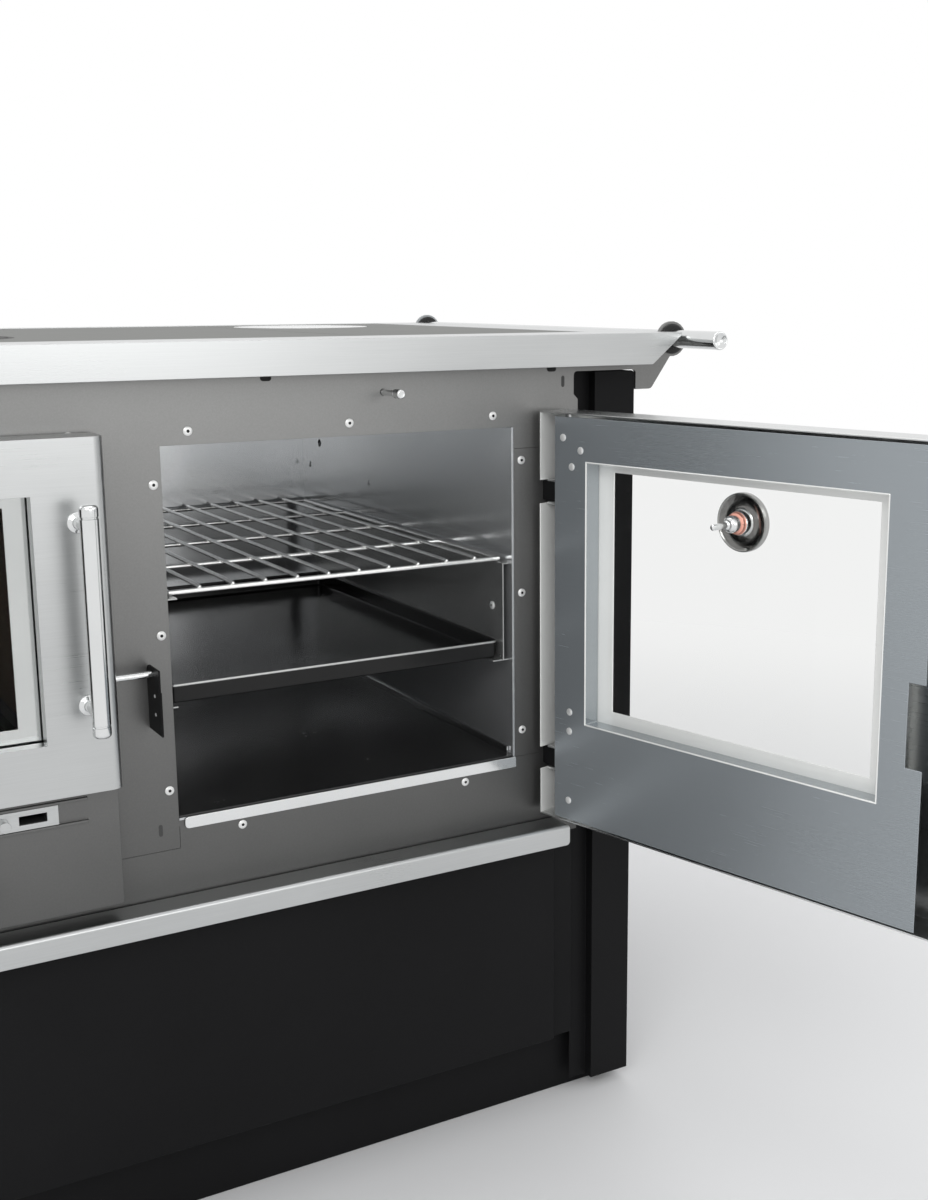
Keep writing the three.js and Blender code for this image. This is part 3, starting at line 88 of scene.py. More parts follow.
# Places: front plate, rails, the oven door's pin and faces, its window and the bright bead round
# it that makes a painted highlight.
FRONT_Y = -277.0
RAIL_X, RAIL_Z = 511.0, 852.0
PIN_X, PIN_Y = 355.0, -297.0
OPEN_ANGLE = 104.2
DOOR_BACK, DOOR_FACE = -282.0, -322.0
WINDOW_ZONE = (-43.2, 303.8, 463.6, 736.2)
WINDOW_LIP = (-42.4, 303.0, 464.2, 735.3)
AHEAD, BEHIND, LEFTWARD = (0.0, -1.0, 0.0), (0.0, 1.0, 0.0), (-1.0, 0.0, 0.0)

# Shapes: angles in degrees over which an edge stays sharp, and steps in each round corner.
SURFACE_SHARP, SHEET_SHARP = 34.0, 50.0
FILLET_STEPS, CORNER_STEPS = 3, 6

# Finishes: the two noises, the levels at which colour and roughness reach their ends, pores.
FINE_NOISE = {"Detail": 5.0, "Roughness": 0.62}
BROAD_NOISE = {"Scale": 5.5, "Detail": 3.0, "Roughness": 0.5}
COLOUR_RAMP, ROUGH_RAMP = (0.34, 0.66), (0.3, 0.7)
PORE_SCALE, PORE_SHARE = 1.4, 0.45
BUMP_STRENGTH = 0.6
GLASS_IOR = 1.1


# --- finishes
class Grain(Enum):
    """What the fine texture of a finish looks like."""

    BRUSHED = "long fine scratches"
    SMOOTH = "faint smears"
    PAINT = "fine orange peel with soft cloudy patches"
    CAST = "sand-cast pits"
    BRICK = "coarse grains and pores"
    GLASS = "clear"


@dataclass(frozen=True)
class Finish:
    """One procedural finish.

    Attributes:
        name: Material name.
        slot: Material slot of the record that it belongs to; not used.
        colour: Linear base colour.
        roughness: Middle roughness.
        metallic: 1 for bare metal.
        grain: Kind of fine texture.
        scale: Texture scale in cycles per metre.
        tone: Share by which the colour varies.
        rough_span: Span by which the roughness varies.
        bump: Height of the fine texture in millimetres.
        stretch: How much the texture is squeezed along X, Y and Z.
        turn: Turn of the texture about Z in degrees, for parts of an open door.
        specular: Specular level of the shader.
        fade: Low and high height in metres and the share of colour lost at the low one; on the
            plate and the oven lining this is painted shade.
        sides: Near and far distance from the middle in metres and the share lost at the far one;
            on the plate this is painted shade.
        edge: Reflection of bare metal at a glancing angle.
    """

    name: str
    slot: str
    colour: Triple
    roughness: float
    metallic: float
    grain: Grain
    scale: float = 0.0
    tone: float = 0.0
    rough_span: float = 0.0
    bump: float = 0.0
    stretch: Triple = (1.0, 1.0, 1.0)
    turn: float = 0.0
    specular: float = 0.5
    fade: Triple | None = None
    sides: Triple | None = None
    edge: float = 1.0


BRUSHED_X = Finish(
    "brushed_along_x", "stainless", (0.52, 0.53, 0.53), 0.30, 1.0, Grain.BRUSHED, 26.0, 0.06, 0.08,
    0.003, (0.6, 60.0, 60.0))
BRUSHED_DOOR = Finish(
    "brushed_door", "stainless", (0.62, 0.63, 0.63), 0.28, 1.0, Grain.BRUSHED, 26.0, 0.06, 0.08,
    0.003, (0.6, 60.0, 60.0), OPEN_ANGLE)
POLISHED = Finish(
    "polished_steel", "polished", (0.72, 0.73, 0.73), 0.12, 1.0, Grain.SMOOTH, 14.0, 0.05, 0.06,
    0.002)
# Partly painted sheen: bright steel given a near-white, mostly diffuse colour that stands in for
# the reflections on the hinge return, the glass frame and the window bead.
BRIGHT = Finish(
    "steel_painted_sheen", "stainless", (0.95, 0.955, 0.93), 0.24, 0.20, Grain.SMOOTH, 12.0, 0.04,
    0.04, 0.0003)
REVEAL = Finish(
    "reveal_steel", "panel_grey", (0.43, 0.46, 0.48), 0.18, 0.80, Grain.BRUSHED, 20.0, 0.04, 0.04,
    0.0003, (0.8, 40.0, 40.0), OPEN_ANGLE)
RACK = Finish(
    "rack_steel", "polished", (0.48, 0.485, 0.48), 0.26, 0.85, Grain.SMOOTH, 30.0, 0.05, 0.06,
    0.002)
# Painted shade in the plate's two slots, which are marks rather than cuts; the same dark grey
# gives the seams their dark joints.
SLOT = Finish(
    "slot_shade", "plate_grey", (0.055, 0.055, 0.054), 0.5, 0.3, Grain.PAINT, 620.0, 0.07, 0.10,
    0.012)
SCREW = Finish(
    "screw_zinc", "polished", (0.80, 0.80, 0.79), 0.32, 0.40, Grain.SMOOTH, 300.0, 0.06, 0.10,
    0.004)
# Painted shade: darker copies of the polished chrome for the thermometer's dish and, less dark,
# its case, standing in for the dark things they reflect.
CHROME_DARK = Finish(
    "chrome_shaded", "polished", (0.22, 0.215, 0.21), 0.12, 1.0, Grain.SMOOTH, 40.0, 0.10, 0.06,
    0.002)
CHROME = Finish(
    "chrome_case", "polished", (0.40, 0.40, 0.39), 0.14, 1.0, Grain.SMOOTH, 40.0, 0.10, 0.06,
    0.002)
# Painted shade: the lining's colour darkens towards the bottom of the oven (fade), standing in for
# the dimmer light low down.
LINER = Finish(
    "oven_lining", "polished", (0.72, 0.735, 0.745), 0.17, 0.78, Grain.SMOOTH, 12.0, 0.03, 0.05,
    0.0004, fade=(0.36, 0.74, 0.32))
WIRE = Finish(
    "grid_wire", "polished", (0.93, 0.93, 0.92), 0.20, 0.80, Grain.SMOOTH, 30.0, 0.04, 0.06, 0.002)
PANEL = Finish(
    "door_panel_satin", "panel_grey", (0.335, 0.365, 0.385), 0.27, 0.55, Grain.BRUSHED, 20.0,
    0.015, 0.02, 0.00004, (0.8, 40.0, 40.0), OPEN_ANGLE)
FIRE_PANEL = Finish(
    "fire_panel_satin", "panel_grey", (0.16, 0.17, 0.175), 0.35, 0.50, Grain.SMOOTH, 24.0, 0.10,
    0.08, 0.004)
# Painted shade: the plate's colour darkens towards the floor (fade) and towards both sides
# (sides), standing in for the lamps' light falling off across it.
PLATE = Finish(
    "plate_grey_paint", "plate_grey", (0.275, 0.275, 0.27), 0.40, 0.80, Grain.PAINT, 620.0, 0.09,
    0.10, 0.02, fade=(0.34, 0.84, 0.60), sides=(0.20, 0.47, 0.22))
BLACK = Finish(
    "black_paint", "black_steel", (0.008, 0.008, 0.0085), 0.46, 0.0, Grain.PAINT, 700.0, 0.16,
    0.10, 0.012, specular=0.10)
BLACK_SHINE = Finish(
    "black_enamel", "enamel", (0.012, 0.012, 0.012), 0.15, 0.0, Grain.SMOOTH, 18.0, 0.20, 0.10,
    0.006, specular=0.22)
FLOOR = Finish(
    "oven_floor_enamel", "enamel", (0.024, 0.024, 0.024), 0.24, 0.0, Grain.SMOOTH, 26.0, 0.16,
    0.10, 0.002)
HOB = Finish(
    "hob_steel", "hob_steel", (0.25, 0.254, 0.243), 0.38, 1.0, Grain.BRUSHED, 30.0, 0.10, 0.12,
    0.005, (0.7, 34.0, 34.0), edge=0.48)
CAST = Finish(
    "cast_iron", "cast_iron", (0.045, 0.044, 0.043), 0.62, 0.45, Grain.CAST, 420.0, 0.25, 0.12,
    0.10)
BRICK = Finish(
    "firebrick", "brick", (0.21, 0.165, 0.125), 0.92, 0.0, Grain.BRICK, 180.0, 0.34, 0.05, 0.35,
    specular=0.2, fade=(0.50, 0.72, 0.45))
ZINC = Finish(
    "zinc_sheet", "galvanised", (0.34, 0.355, 0.365), 0.46, 0.8, Grain.SMOOTH, 60.0, 0.16, 0.14,
    0.008)
COLLAR = Finish(
    "collar_black", "collar_black", (0.012, 0.012, 0.012), 0.34, 0.0, Grain.PAINT, 500.0, 0.10,
    0.10, 0.01, specular=0.3)
COPPER = Finish(
    "copper_washer", "polished", (0.86, 0.42, 0.33), 0.28, 0.70, Grain.SMOOTH, 60.0, 0.14, 0.10,
    0.004)
# Near-black: painted shade in the screws' drive sockets, also the printed ticks and needle of the
# dial and the dark tabs under the top frame.
SOCKET = Finish(
    "socket_dark", "black_steel", (0.02, 0.02, 0.02), 0.6, 0.0, Grain.PAINT, 900.0, 0.2, 0.1, 0.01,
    specular=0.2)
DIAL = Finish(
    "dial_white", "polished", (0.80, 0.80, 0.77), 0.4, 0.0, Grain.PAINT, 500.0, 0.04, 0.05, 0.004)
GLASS = Finish("clear_glass", "glass", (0.88, 0.885, 0.88), 0.0, 0.0, Grain.GLASS)


class Nodes:
    """Node tree of one material or of the world."""

    def __init__(self, tree: bpy.types.NodeTree) -> None:
        """Keeps the tree that takes the nodes."""
        self.tree = tree

    def fill(self, node: Node, inputs: Inputs) -> None:
        """Sets inputs of a node.

        Args:
            node: Node to set.
            inputs: Value or source socket of each input, by its name or number.
        """
        for key, value in inputs.items():
            if isinstance(value, Socket):
                self.tree.links.new(value, node.inputs[key])
            else:
                node.inputs[key].default_value = value

    def add(self, kind: str, inputs: Inputs, operation: str = "") -> Node:
        """Adds a shader node.

        Args:
            kind: Its type without the word ShaderNode.
            inputs: Value or source socket of each input that is set.
            operation: What a math node works out.

        Returns:
            The new node.
        """
        node = self.tree.nodes.new("ShaderNode" + kind)
        if operation:
            node.operation = operation
        self.fill(node, inputs)
        return node


@cache
def material_of(finish: Finish) -> bpy.types.Material:
    """Makes a finish's material, whose colour and roughness follow a fine and a broad noise.

    Args:
        finish: What the material looks like.

    Returns:
        The material, the same for all pieces with this finish.
    """
    material = bpy.data.materials.new(finish.name)
    material.use_nodes = True
    nodes = Nodes(material.node_tree)
    shader = nodes.tree.nodes["Principled BSDF"]
    nodes.fill(shader, {"Metallic": finish.metallic, "Specular IOR Level": finish.specular,
                        "Specular Tint": (finish.edge, finish.edge, finish.edge, 1.0)})
    if finish.grain is Grain.GLASS:
        nodes.fill(shader, {"Base Color": (*finish.colour, 1.0), "Roughness": finish.roughness,
                            "Transmission Weight": 1.0, "IOR": GLASS_IOR})
        return material
    coords = nodes.add("TexCoord", {}).outputs["Object"]
    angle = (0.0, 0.0, -math.radians(finish.turn))
    turn = nodes.add("Mapping", {"Rotation": angle, "Vector": coords}).outputs[0]
    place = nodes.add("Mapping", {"Scale": finish.stretch, "Vector": turn}).outputs[0]
    fine = nodes.add("TexNoise", {"Scale": finish.scale, "Vector": place, **FINE_NOISE})
    broad = nodes.add("TexNoise", {"Vector": turn, **BROAD_NOISE})
    height = fine.outputs["Fac"]
    if finish.grain in (Grain.CAST, Grain.BRICK):
        cells = nodes.add("TexVoronoi", {"Scale": finish.scale * PORE_SCALE, "Vector": place})
        pores = cells.outputs["Distance"]
        height = nodes.add("Mix", {0: PORE_SHARE, 2: height, 3: pores}).outputs[0]
    blend = nodes.add("Mix", {0: 0.5, 2: height, 3: broad.outputs["Fac"]}).outputs[0]
    ramp = nodes.add("ValToRGB", {"Fac": blend})
    shares = (1.0 - finish.tone, 1.0 + finish.tone)
    for stop, level, share in zip(ramp.color_ramp.elements, COLOUR_RAMP, shares):
        stop.position = level
        stop.color = (*(c * share for c in finish.colour), 1.0)
    half = finish.rough_span / 2
    span = nodes.add("MapRange", {
        "Value": blend, "From Min": ROUGH_RAMP[0], "From Max": ROUGH_RAMP[1],
        "To Min": finish.roughness - half, "To Max": finish.roughness + half})
    bump = nodes.add("Bump", {"Strength": BUMP_STRENGTH, "Distance": finish.bump * MM,
                              "Height": height})
    nodes.fill(shader, {"Base Color": faded(nodes, finish, turn, ramp.outputs["Color"]),
                        "Roughness": span.outputs["Result"], "Normal": bump.outputs["Normal"]})
    return material


def faded(nodes: Nodes, finish: Finish, place: Socket, colour: Socket) -> Socket:
    """Darkens a colour towards the floor and away from the middle.

    Args:
        nodes: Tree of the material.
        finish: Finish with the limits.
        place: Place on the stove.
        colour: Colour to darken.

    Returns:
        The darkened colour, or the colour itself where the finish has no limits.
    """
    # Painted shade on the front plate and the oven lining; on the firebricks the colour only
    # darkens towards the bottom.
    if finish.fade is None and finish.sides is None:
        return colour
    split = nodes.add("SeparateXYZ", {0: place})
    ramps = []
    if finish.fade is not None:
        low, high, share = finish.fade
        ramps.append((split.outputs["Z"], low, high, 1.0 - share, 1.0))
    if finish.sides is not None:
        near, far, share = finish.sides
        reach = nodes.add("Math", {0: split.outputs["X"]}, "ABSOLUTE")
        ramps.append((reach.outputs[0], near, far, 1.0, 1.0 - share))
    for ramp in ramps:
        names = ("Value", "From Min", "From Max", "To Min", "To Max")
        level = nodes.add("MapRange", dict(zip(names, ramp))).outputs["Result"]
        colour = nodes.add("VectorMath", {0: colour, "Scale": level}, "SCALE").outputs[0]
    return colour


# --- surfaces
def unit(vector: Sequence[float]) -> np.ndarray:
    """Scales a vector to length one: vector / |vector|."""
    array = np.asarray(vector, float)
    return array / np.linalg.norm(array)


def square_to(axis: np.ndarray) -> tuple[np.ndarray, np.ndarray]:
    """Finds two directions square to an axis and to each other, by cross products.

    Args:
        axis: Unit vector.

    Returns:
        Two unit vectors.
    """
    helper = np.array([0.0, 0.0, 1.0]) if abs(axis[2]) < 0.9 else np.array([1.0, 0.0, 0.0])
    first = unit(np.cross(axis, helper))
    return first, np.cross(axis, first)


def fillet(points: Sequence[Pair], radius: float) -> list[Pair]:
    """Rounds the inner corners of an open profile.

    Args:
        points: Radius and height of each corner.
        radius: Fillet radius, cut down where a side is short.

    Returns:
        The profile with each corner replaced by a quadratic curve that starts and ends on its
        sides: (1 - t)^2 start + 2 t (1 - t) corner + t^2 end.
    """
    ends = np.asarray(points, float)
    result = [tuple(ends[0])]
    for before, corner, after in zip(ends, ends[1:], ends[2:]):
        back, ahead = before - corner, after - corner
        reach = min(radius, np.linalg.norm(back) * 0.45, np.linalg.norm(ahead) * 0.45)
        start, end = corner + unit(back) * reach, corner + unit(ahead) * reach
        for t in np.arange(FILLET_STEPS + 1) / FILLET_STEPS:
            result.append(tuple((1 - t) ** 2 * start + 2 * t * (1 - t) * corner + t * t * end))
    result.append(tuple(ends[-1]))
    return result


def rounded_loop(rect: Rect, inset: float, corner: float) -> np.ndarray:
    """Draws a rectangle with round corners, moved inwards: each corner is a quarter circle.

    Args:
        rect: Low and high first coordinate, low and high second coordinate.
        inset: How far the loop lies inside the rectangle.
        corner: Corner radius of the rectangle itself.

    Returns:
        Points of the closed loop, one row each.
    """
    radius = max(0.3, corner - inset)
    near = inset + radius
    a0, a1, b0, b1 = rect[0] + near, rect[1] - near, rect[2] + near, rect[3] - near
    quarter = np.radians(90.0 * np.arange(CORNER_STEPS + 1) / CORNER_STEPS)
    turns = np.radians([[180.0], [270.0], [0.0], [90.0]]) + quarter
    arcs = np.stack([np.cos(turns), np.sin(turns)], -1) * radius
    centres = np.array([(a0, b0), (a1, b0), (a1, b1), (a0, b1)])
    return (centres[:, None] + arcs).reshape(-1, 2)


class Surface:
    """Parametric surfaces of one piece, each with the number of its finish."""

    def __init__(self, place: Matrix | None = None) -> None:
        """Starts empty.

        Args:
            place: Turn of the part that the piece belongs to, in metres.
        """
        self._place = place
        self._points: list[np.ndarray] = []
        self._faces: list[list[int]] = []
        self._marks: list[int] = []
        self._count = 0

    def rings(self, points: np.ndarray, mark: int | Sequence[int] = 0) -> None:
        """Joins closed rings of points with quads.

        Args:
            points: Array of rings by points by coordinates.
            mark: One mark, or one for each band between two rings.
        """
        rows, columns = points.shape[:2]
        i, j = np.meshgrid(np.arange(rows - 1), np.arange(columns), indexing="ij")
        here, there = i * columns + j, i * columns + (j + 1) % columns
        quads = np.stack([here, here + columns, there + columns, there], -1)
        self._faces.extend((quads.reshape(-1, 4) + self._count).tolist())
        marks = np.broadcast_to(np.reshape(mark, (-1, 1)), quads.shape[:2])
        self._marks.extend(marks.ravel().tolist())
        self._points.append(points.reshape(-1, 3))
        self._count += rows * columns

    def face(self, points: np.ndarray, mark: int = 0) -> None:
        """Adds one flat face.

        Args:
            points: Its corners in order.
            mark: Number of its finish.
        """
        self._faces.append(list(range(self._count, self._count + len(points))))
        self._marks.append(mark)
        self._points.append(points)
        self._count += len(points)

    def revolve(self, profile: Iterable[Pair], origin: Triple, axis: Triple, mark: int = 0,
                segments: int = 48) -> None:
        """Turns a profile about an axis.

        Each point is origin + height * axis + radius * (cos(a) * first + sin(a) * second).

        Args:
            profile: Radius and height of each point.
            origin: Point on the axis at height nought.
            axis: Direction of the axis.
            mark: Number of the finish.
            segments: Number of points round the axis.
        """
        shape = np.array(list(profile), float)
        along = unit(axis)
        first, second = square_to(along)
        angle = np.linspace(0.0, 2.0 * np.pi, segments, endpoint=False)
        ring = np.cos(angle)[:, None] * first + np.sin(angle)[:, None] * second
        self.rings(np.asarray(origin, float) + shape[:, 1, None, None] * along
                   + shape[:, 0, None, None] * ring[None], mark)

    def tube(self, path: np.ndarray, radius: float, sides: int = 14) -> None:
        """Sweeps a circle along a path, its frame turned as little as possible, with domed ends.

        Each point is centre + radius * (cos(a) * normal + sin(a) * side), and a dome's ring at
        the angle t from the tip is moved out by radius * cos(t) and narrowed by sin(t).

        Args:
            path: Points of the centre line.
            radius: Radius of the tube.
            sides: Number of points round it.
        """
        step = np.gradient(path, axis=0)
        step /= np.linalg.norm(step, axis=1)[:, None]
        normal = square_to(step[0])[0]
        angle = np.linspace(0.0, 2.0 * np.pi, sides, endpoint=False)
        dome = [(math.cos(t), math.sin(t)) for t in (0.0, 0.5, 1.0)]
        rings = []
        for index, (centre, ahead) in enumerate(zip(path, step)):
            normal = unit(normal - ahead * np.dot(normal, ahead))
            side = np.cross(ahead, normal)
            ring = np.cos(angle)[:, None] * normal + np.sin(angle)[:, None] * side
            if index == 0:
                rings += [centre - ahead * radius * c + ring * radius * s for c, s in dome]
            rings.append(centre + ring * radius)
            if index == len(path) - 1:
                rings += [centre + ahead * radius * c + ring * radius * s for c, s in dome[::-1]]
        self.rings(np.array(rings))

    def loft(self, rect: Rect, profile: Sequence[Pair], corner: float, upright: bool = False,
             mark: int | Sequence[int] = 0) -> None:
        """Joins round-cornered loops and caps both ends.

        Args:
            rect: Rectangle of the loops.
            profile: Inset and height of each loop.
            corner: Corner radius.
            upright: True for loops in X and Z with heights along Y.
            mark: One mark, or one for each band between two loops.
        """
        loops = []
        for inset, height in profile:
            flat = rounded_loop(rect, inset, corner)
            columns = [flat[:, 0], flat[:, 1]]
            columns.insert(1 if upright else 2, np.full(len(flat), height))
            loops.append(np.stack(columns, -1))
        self.rings(np.array(loops), mark)
        self.face(loops[0])
        self.face(loops[-1])

    def build(self, name: str, finishes: Sequence[Finish], body: str, node: str = "",
              angle: float = SURFACE_SHARP) -> list[Object]:
        """Makes the piece.

        Args:
            name: Name of the piece.
            finishes: Finishes in the order of the marks; the first gives the slot.
            body: Body that carries the piece.
            node: Solid that it replaces, if any.
            angle: Edges sharper than this stay sharp, in degrees.

        Returns:
            The new piece alone.
        """
        points = np.concatenate(self._points) * MM
        if self._place is not None:
            turn = np.array(self._place.to_3x3())
            points = points @ turn.T + np.array(self._place.translation)
        mesh = bpy.data.meshes.new(name)
        mesh.from_pydata(points.tolist(), [], self._faces)
        mesh.polygons.foreach_set("material_index", np.array(self._marks, np.int32))
        shape = bmesh.new()
        shape.from_mesh(mesh)
        bmesh.ops.remove_doubles(shape, verts=shape.verts, dist=2e-6)
        bmesh.ops.recalc_face_normals(shape, faces=shape.faces)
        shape.to_mesh(mesh)
        shape.free()
        return dress(name, mesh, finishes, body, node, angle)


def dress(name: str, mesh: bpy.types.Mesh, finishes: Sequence[Finish], body: str, node: str,
          angle: float) -> list[Object]:
    """Gives a mesh its object, finishes, shading and body.

    A corner's normal is the mean of its faces' normals, each weighted by its area, so broad
    faces stay flat beside their rolled edges.

    Args:
        name: Name of the piece.
        mesh: Its mesh, with the number of a finish on each face.
        finishes: Its finishes; the first gives the slot.
        body: Body that carries it.
        node: Solid that it replaces, if any.
        angle: Edges sharper than this stay sharp, in degrees.

    Returns:
        The new piece alone, at the origin.
    """
    marks = np.zeros(len(mesh.polygons), np.int32)
    mesh.polygons.foreach_get("material_index", marks)
    mesh.materials.clear()
    for finish in finishes:
        mesh.materials.append(material_of(finish))
    mesh.polygons.foreach_set("material_index", marks)
    mesh.shade_smooth()
    mesh.set_sharp_from_angle(angle=math.radians(angle))
    obj = bpy.data.objects.new(name, mesh)
    bpy.context.scene.collection.objects.link(obj)
    even = obj.modifiers.new("even", "WEIGHTED_NORMAL")
    even.keep_sharp = True
    graph = bpy.context.evaluated_depsgraph_get()
    obj.data = bpy.data.meshes.new_from_object(obj.evaluated_get(graph))
    obj.data.name = name
    obj.modifiers.clear()
    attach(obj, body)
    if node:
        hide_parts(node)
    return [obj]


def door_place() -> Matrix:
    """Turns the oven door about its pin, from its closed place to its open one.

    Returns:
        The turn, in metres.
    """
    pin = Vector((PIN_X * MM, PIN_Y * MM, 0.0))
    turn = Matrix.Rotation(math.radians(OPEN_ANGLE), 4, "Z")
    return Matrix.Translation(pin) @ turn @ Matrix.Translation(-pin)


class Part(ABC):
    """A sub-assembly of the stove."""

    @abstractmethod
    def build(self) -> list[Object]:
        """Makes the visible pieces, each riding on its body, and returns them."""


# --- sheet parts
@dataclass
class SheetPart(Part):
    """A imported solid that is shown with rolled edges.

    Attributes:
        node: Solid it stands for.
        finish: Its finish.
        roll: Width of the rolled edge in millimetres.
        steps: Steps across the rolled edge.
        accent: Second finish, for the faces that the test picks.
        test: Tells from a face's middle, in closed millimetres, if it takes the second finish.
    """

    node: str
    finish: Finish
    roll: float
    steps: int = 2
    accent: Finish | None = None
    test: Callable[[Vector], bool] | None = None

    def build(self) -> list[Object]:
        """Copies the solid, merges its flat facets, rolls its edges and replaces it.

        Returns:
            The formed piece.
        """
        source = frame["nodes"][self.node]
        name, body = self.node + "_formed", source["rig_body"]
        shape = bmesh.new()
        shape.from_mesh(source.data)
        bmesh.ops.remove_doubles(shape, verts=shape.verts, dist=3e-6)
        bmesh.ops.dissolve_limit(shape, angle_limit=math.radians(0.5), verts=shape.verts,
                                 edges=shape.edges)
        mesh = bpy.data.meshes.new(name)
        shape.to_mesh(mesh)
        shape.free()
        draft = bpy.data.objects.new(self.node + "_draft", mesh)
        bpy.context.scene.collection.objects.link(draft)
        rolled = draft.modifiers.new("roll", "BEVEL")
        rolled.width = self.roll * MM
        rolled.segments = self.steps
        rolled.limit_method = "ANGLE"
        rolled.angle_limit = math.radians(SURFACE_SHARP)
        graph = bpy.context.evaluated_depsgraph_get()
        final = bpy.data.meshes.new_from_object(draft.evaluated_get(graph))
        bpy.data.objects.remove(draft)
        finishes = [self.finish]
        marks = np.zeros(len(final.polygons), np.int32)
        if self.accent is not None:
            back = door_place().inverted() if body == "oven_door" else Matrix.Identity(4)
            marks = np.array([self.test(back @ face.center / MM) for face in final.polygons],
                             np.int32)
            finishes.append(self.accent)
        final.polygons.foreach_set("material_index", marks)
        return dress(name, final, finishes, body, self.node, SHEET_SHARP)


def in_window(point: Vector) -> bool:
    """Tells if a point is on the oven door's window edge or in the reveal behind it."""
    left, right, low, high = WINDOW_ZONE
    return left < point.x < right and low < point.z < high and point.y < DOOR_BACK - 0.05


def on_hinge_return(point: Vector) -> bool:
    """Tells if a point is on the folded return at the oven door's hinge side."""
    return point.x > 364.0 and point.y > -319.0


def on_catch_rod(point: Vector) -> bool:
    """Tells if a point is on the rod between the catch's plates."""
    return -142.5 < point.x < -77.0


SHEET_PARTS = [SheetPart(*row) for row in (
    ("top_frame", BRUSHED_X, 0.9, 3),
    ("front_plate", PLATE, 0.5),
    ("back_panel", ZINC, 0.5),
    *((f"side_panel_{side}", BLACK, 0.7, 3) for side in SIDES),
    ("plinth", BLACK, 0.6),
    ("drawer_bay", BLACK, 0.6),
    *((f"hob_plate_{side}", HOB, 0.5) for side in SIDES),
    ("oven_liner", LINER, 0.6),
    ("oven_sill", POLISHED, 0.5, 3),
    *((f"rack_support_{side}", RACK, 0.4) for side in SIDES),
    ("firebox_shell", CAST, 0.8),
    ("fire_grate", CAST, 1.2),
    *((f"firebrick_{side}", BRICK, 1.5, 3) for side in (*SIDES, "back")),
    ("damper_flap", CAST, 0.6),
    ("ash_drawer_box", ZINC, 0.4),
    ("ash_drawer_front", PLATE, 1.2, 3),
    ("air_slide", BRUSHED_X, 0.4),
    ("wood_drawer_front", BLACK, 1.0, 3),
    ("wood_drawer_box", BLACK, 0.5),
    ("wood_drawer_grip", BRUSHED_X, 0.8, 3),
    ("oven_floor", FLOOR, 0.5),
    # The hinge return takes the near-white steel: a painted sheen on the same sheet as the door's
    # face.
    ("oven_door_shell", BRUSHED_DOOR, 0.6, 3, BRIGHT, on_hinge_return),
    ("oven_door_panel", PANEL, 0.8, 3, REVEAL, in_window),
    ("oven_glass_frame", BRIGHT, 0.4),
    ("fire_door_shell", BRUSHED_X, 0.6, 3),
    ("fire_door_panel", FIRE_PANEL, 0.5, 3),
    ("fire_glass_frame", POLISHED, 0.4),
    *((f"{door}_hinge_{end}", BLACK, 0.8, 3)
      for door in ("oven", "fire") for end in ("upper", "lower")),
    ("door_catch", BLACK, 0.3, 2, POLISHED, on_catch_rod),
)]


# --- fasteners
@dataclass
class Fasteners(Part):
    """Round heads of one kind on one piece.

    Attributes:
        name: Name of the piece.
        places: Centre of each head's seat.
        axis: Direction in which the heads stand out.
        radius: Head radius.
        height: Head height.
        socket: True for a screw with a drive socket, False for a plain rivet.
        finish: Finish of the heads.
        body: Body that carries them.
        place: Turn of the part that carries them.
    """

    name: str
    places: Sequence[Triple]
    axis: Triple
    radius: float = 4.3
    height: float = 1.5
    socket: bool = True
    finish: Finish = SCREW
    body: str = "body"
    place: Matrix | None = None

    def build(self) -> list[Object]:
        """Turns a domed head, with a socket where there is one, at each place.

        The dome's radius falls evenly from the rim to the socket, and its height follows a
        quarter of a sine wave.

        Returns:
            One piece with all heads.
        """
        surface = Surface(self.place)
        r, h = self.radius, self.height
        inner = r * 0.34 if self.socket else 0.0
        head = [(r * 0.98, -0.2), (r, 0.0)]
        for t in np.linspace(0.0, 1.0, 6):
            swell = math.sin(min(1.0, t * 1.6) * math.pi / 2)
            head.append((r - (r - inner) * t, h * 0.45 + h * 0.55 * swell))
        for centre in self.places:
            surface.revolve(head, centre, self.axis, 0, 28)
            # The socket takes the near-black finish: painted shade in the recess.
            if self.socket:
                star = [(inner, h), (inner * 0.94, h * 0.2), (0.0, h * 0.15)]
                surface.revolve(star, centre, self.axis, 1, 6)
            else:
                surface.revolve([(inner, h), (0.0, h)], centre, self.axis, 0, 28)
        return surface.build(self.name, [self.finish, SOCKET], self.body)


RIVET_PLACES = ((334.3, 758.1), (310.3, 746.5), (322.3, 729.4), (324.4, 474.0), (324.6, 453.3),
                (325.6, 377.7))

FASTENERS = (
    Fasteners("front_plate_screws", [
        *((x, FRONT_Y, z) for x in (-60.7, 322.2) for z in (732.7, 594.2, 445.8)),
        *((x, FRONT_Y, 779.3) for x in (-26.8, 131.8, 289.1)),
        *((x, FRONT_Y, 399.5) for x in (8.8, 252.7))], AHEAD),
    Fasteners("fire_side_screws", [(-133.0, FRONT_Y, 779.3), (-242.0, FRONT_Y, 790.0)], AHEAD),
    Fasteners("lining_screws", [(310.9, 252.8, 678.6), (310.9, 70.9, 673.6)], LEFTWARD,
              3.6, 1.4, False, POLISHED),
    Fasteners("rack_screws", [(302.9, -249.0, 578.0)], LEFTWARD, 4.2, 1.6),
    Fasteners("back_screws", [
        *((x, 300.0, z) for x in (-446.0, 446.0) for z in (110.0, 280.0, 450.0, 620.0, 790.0)),
        *((x, 300.0, z) for x in (-297.0, -99.0, 99.0, 297.0) for z in (92.0, 812.0))], BEHIND),
    Fasteners("catch_pins", [(-76.0, -298.7, z) for z in (544.3, 527.0)], LEFTWARD,
              1.7, 0.7, False),
    Fasteners("door_panel_rivets", [(x, DOOR_BACK, z) for x, z in RIVET_PLACES], BEHIND,
              3.8, 1.1, False, body="oven_door", place=door_place()),
)


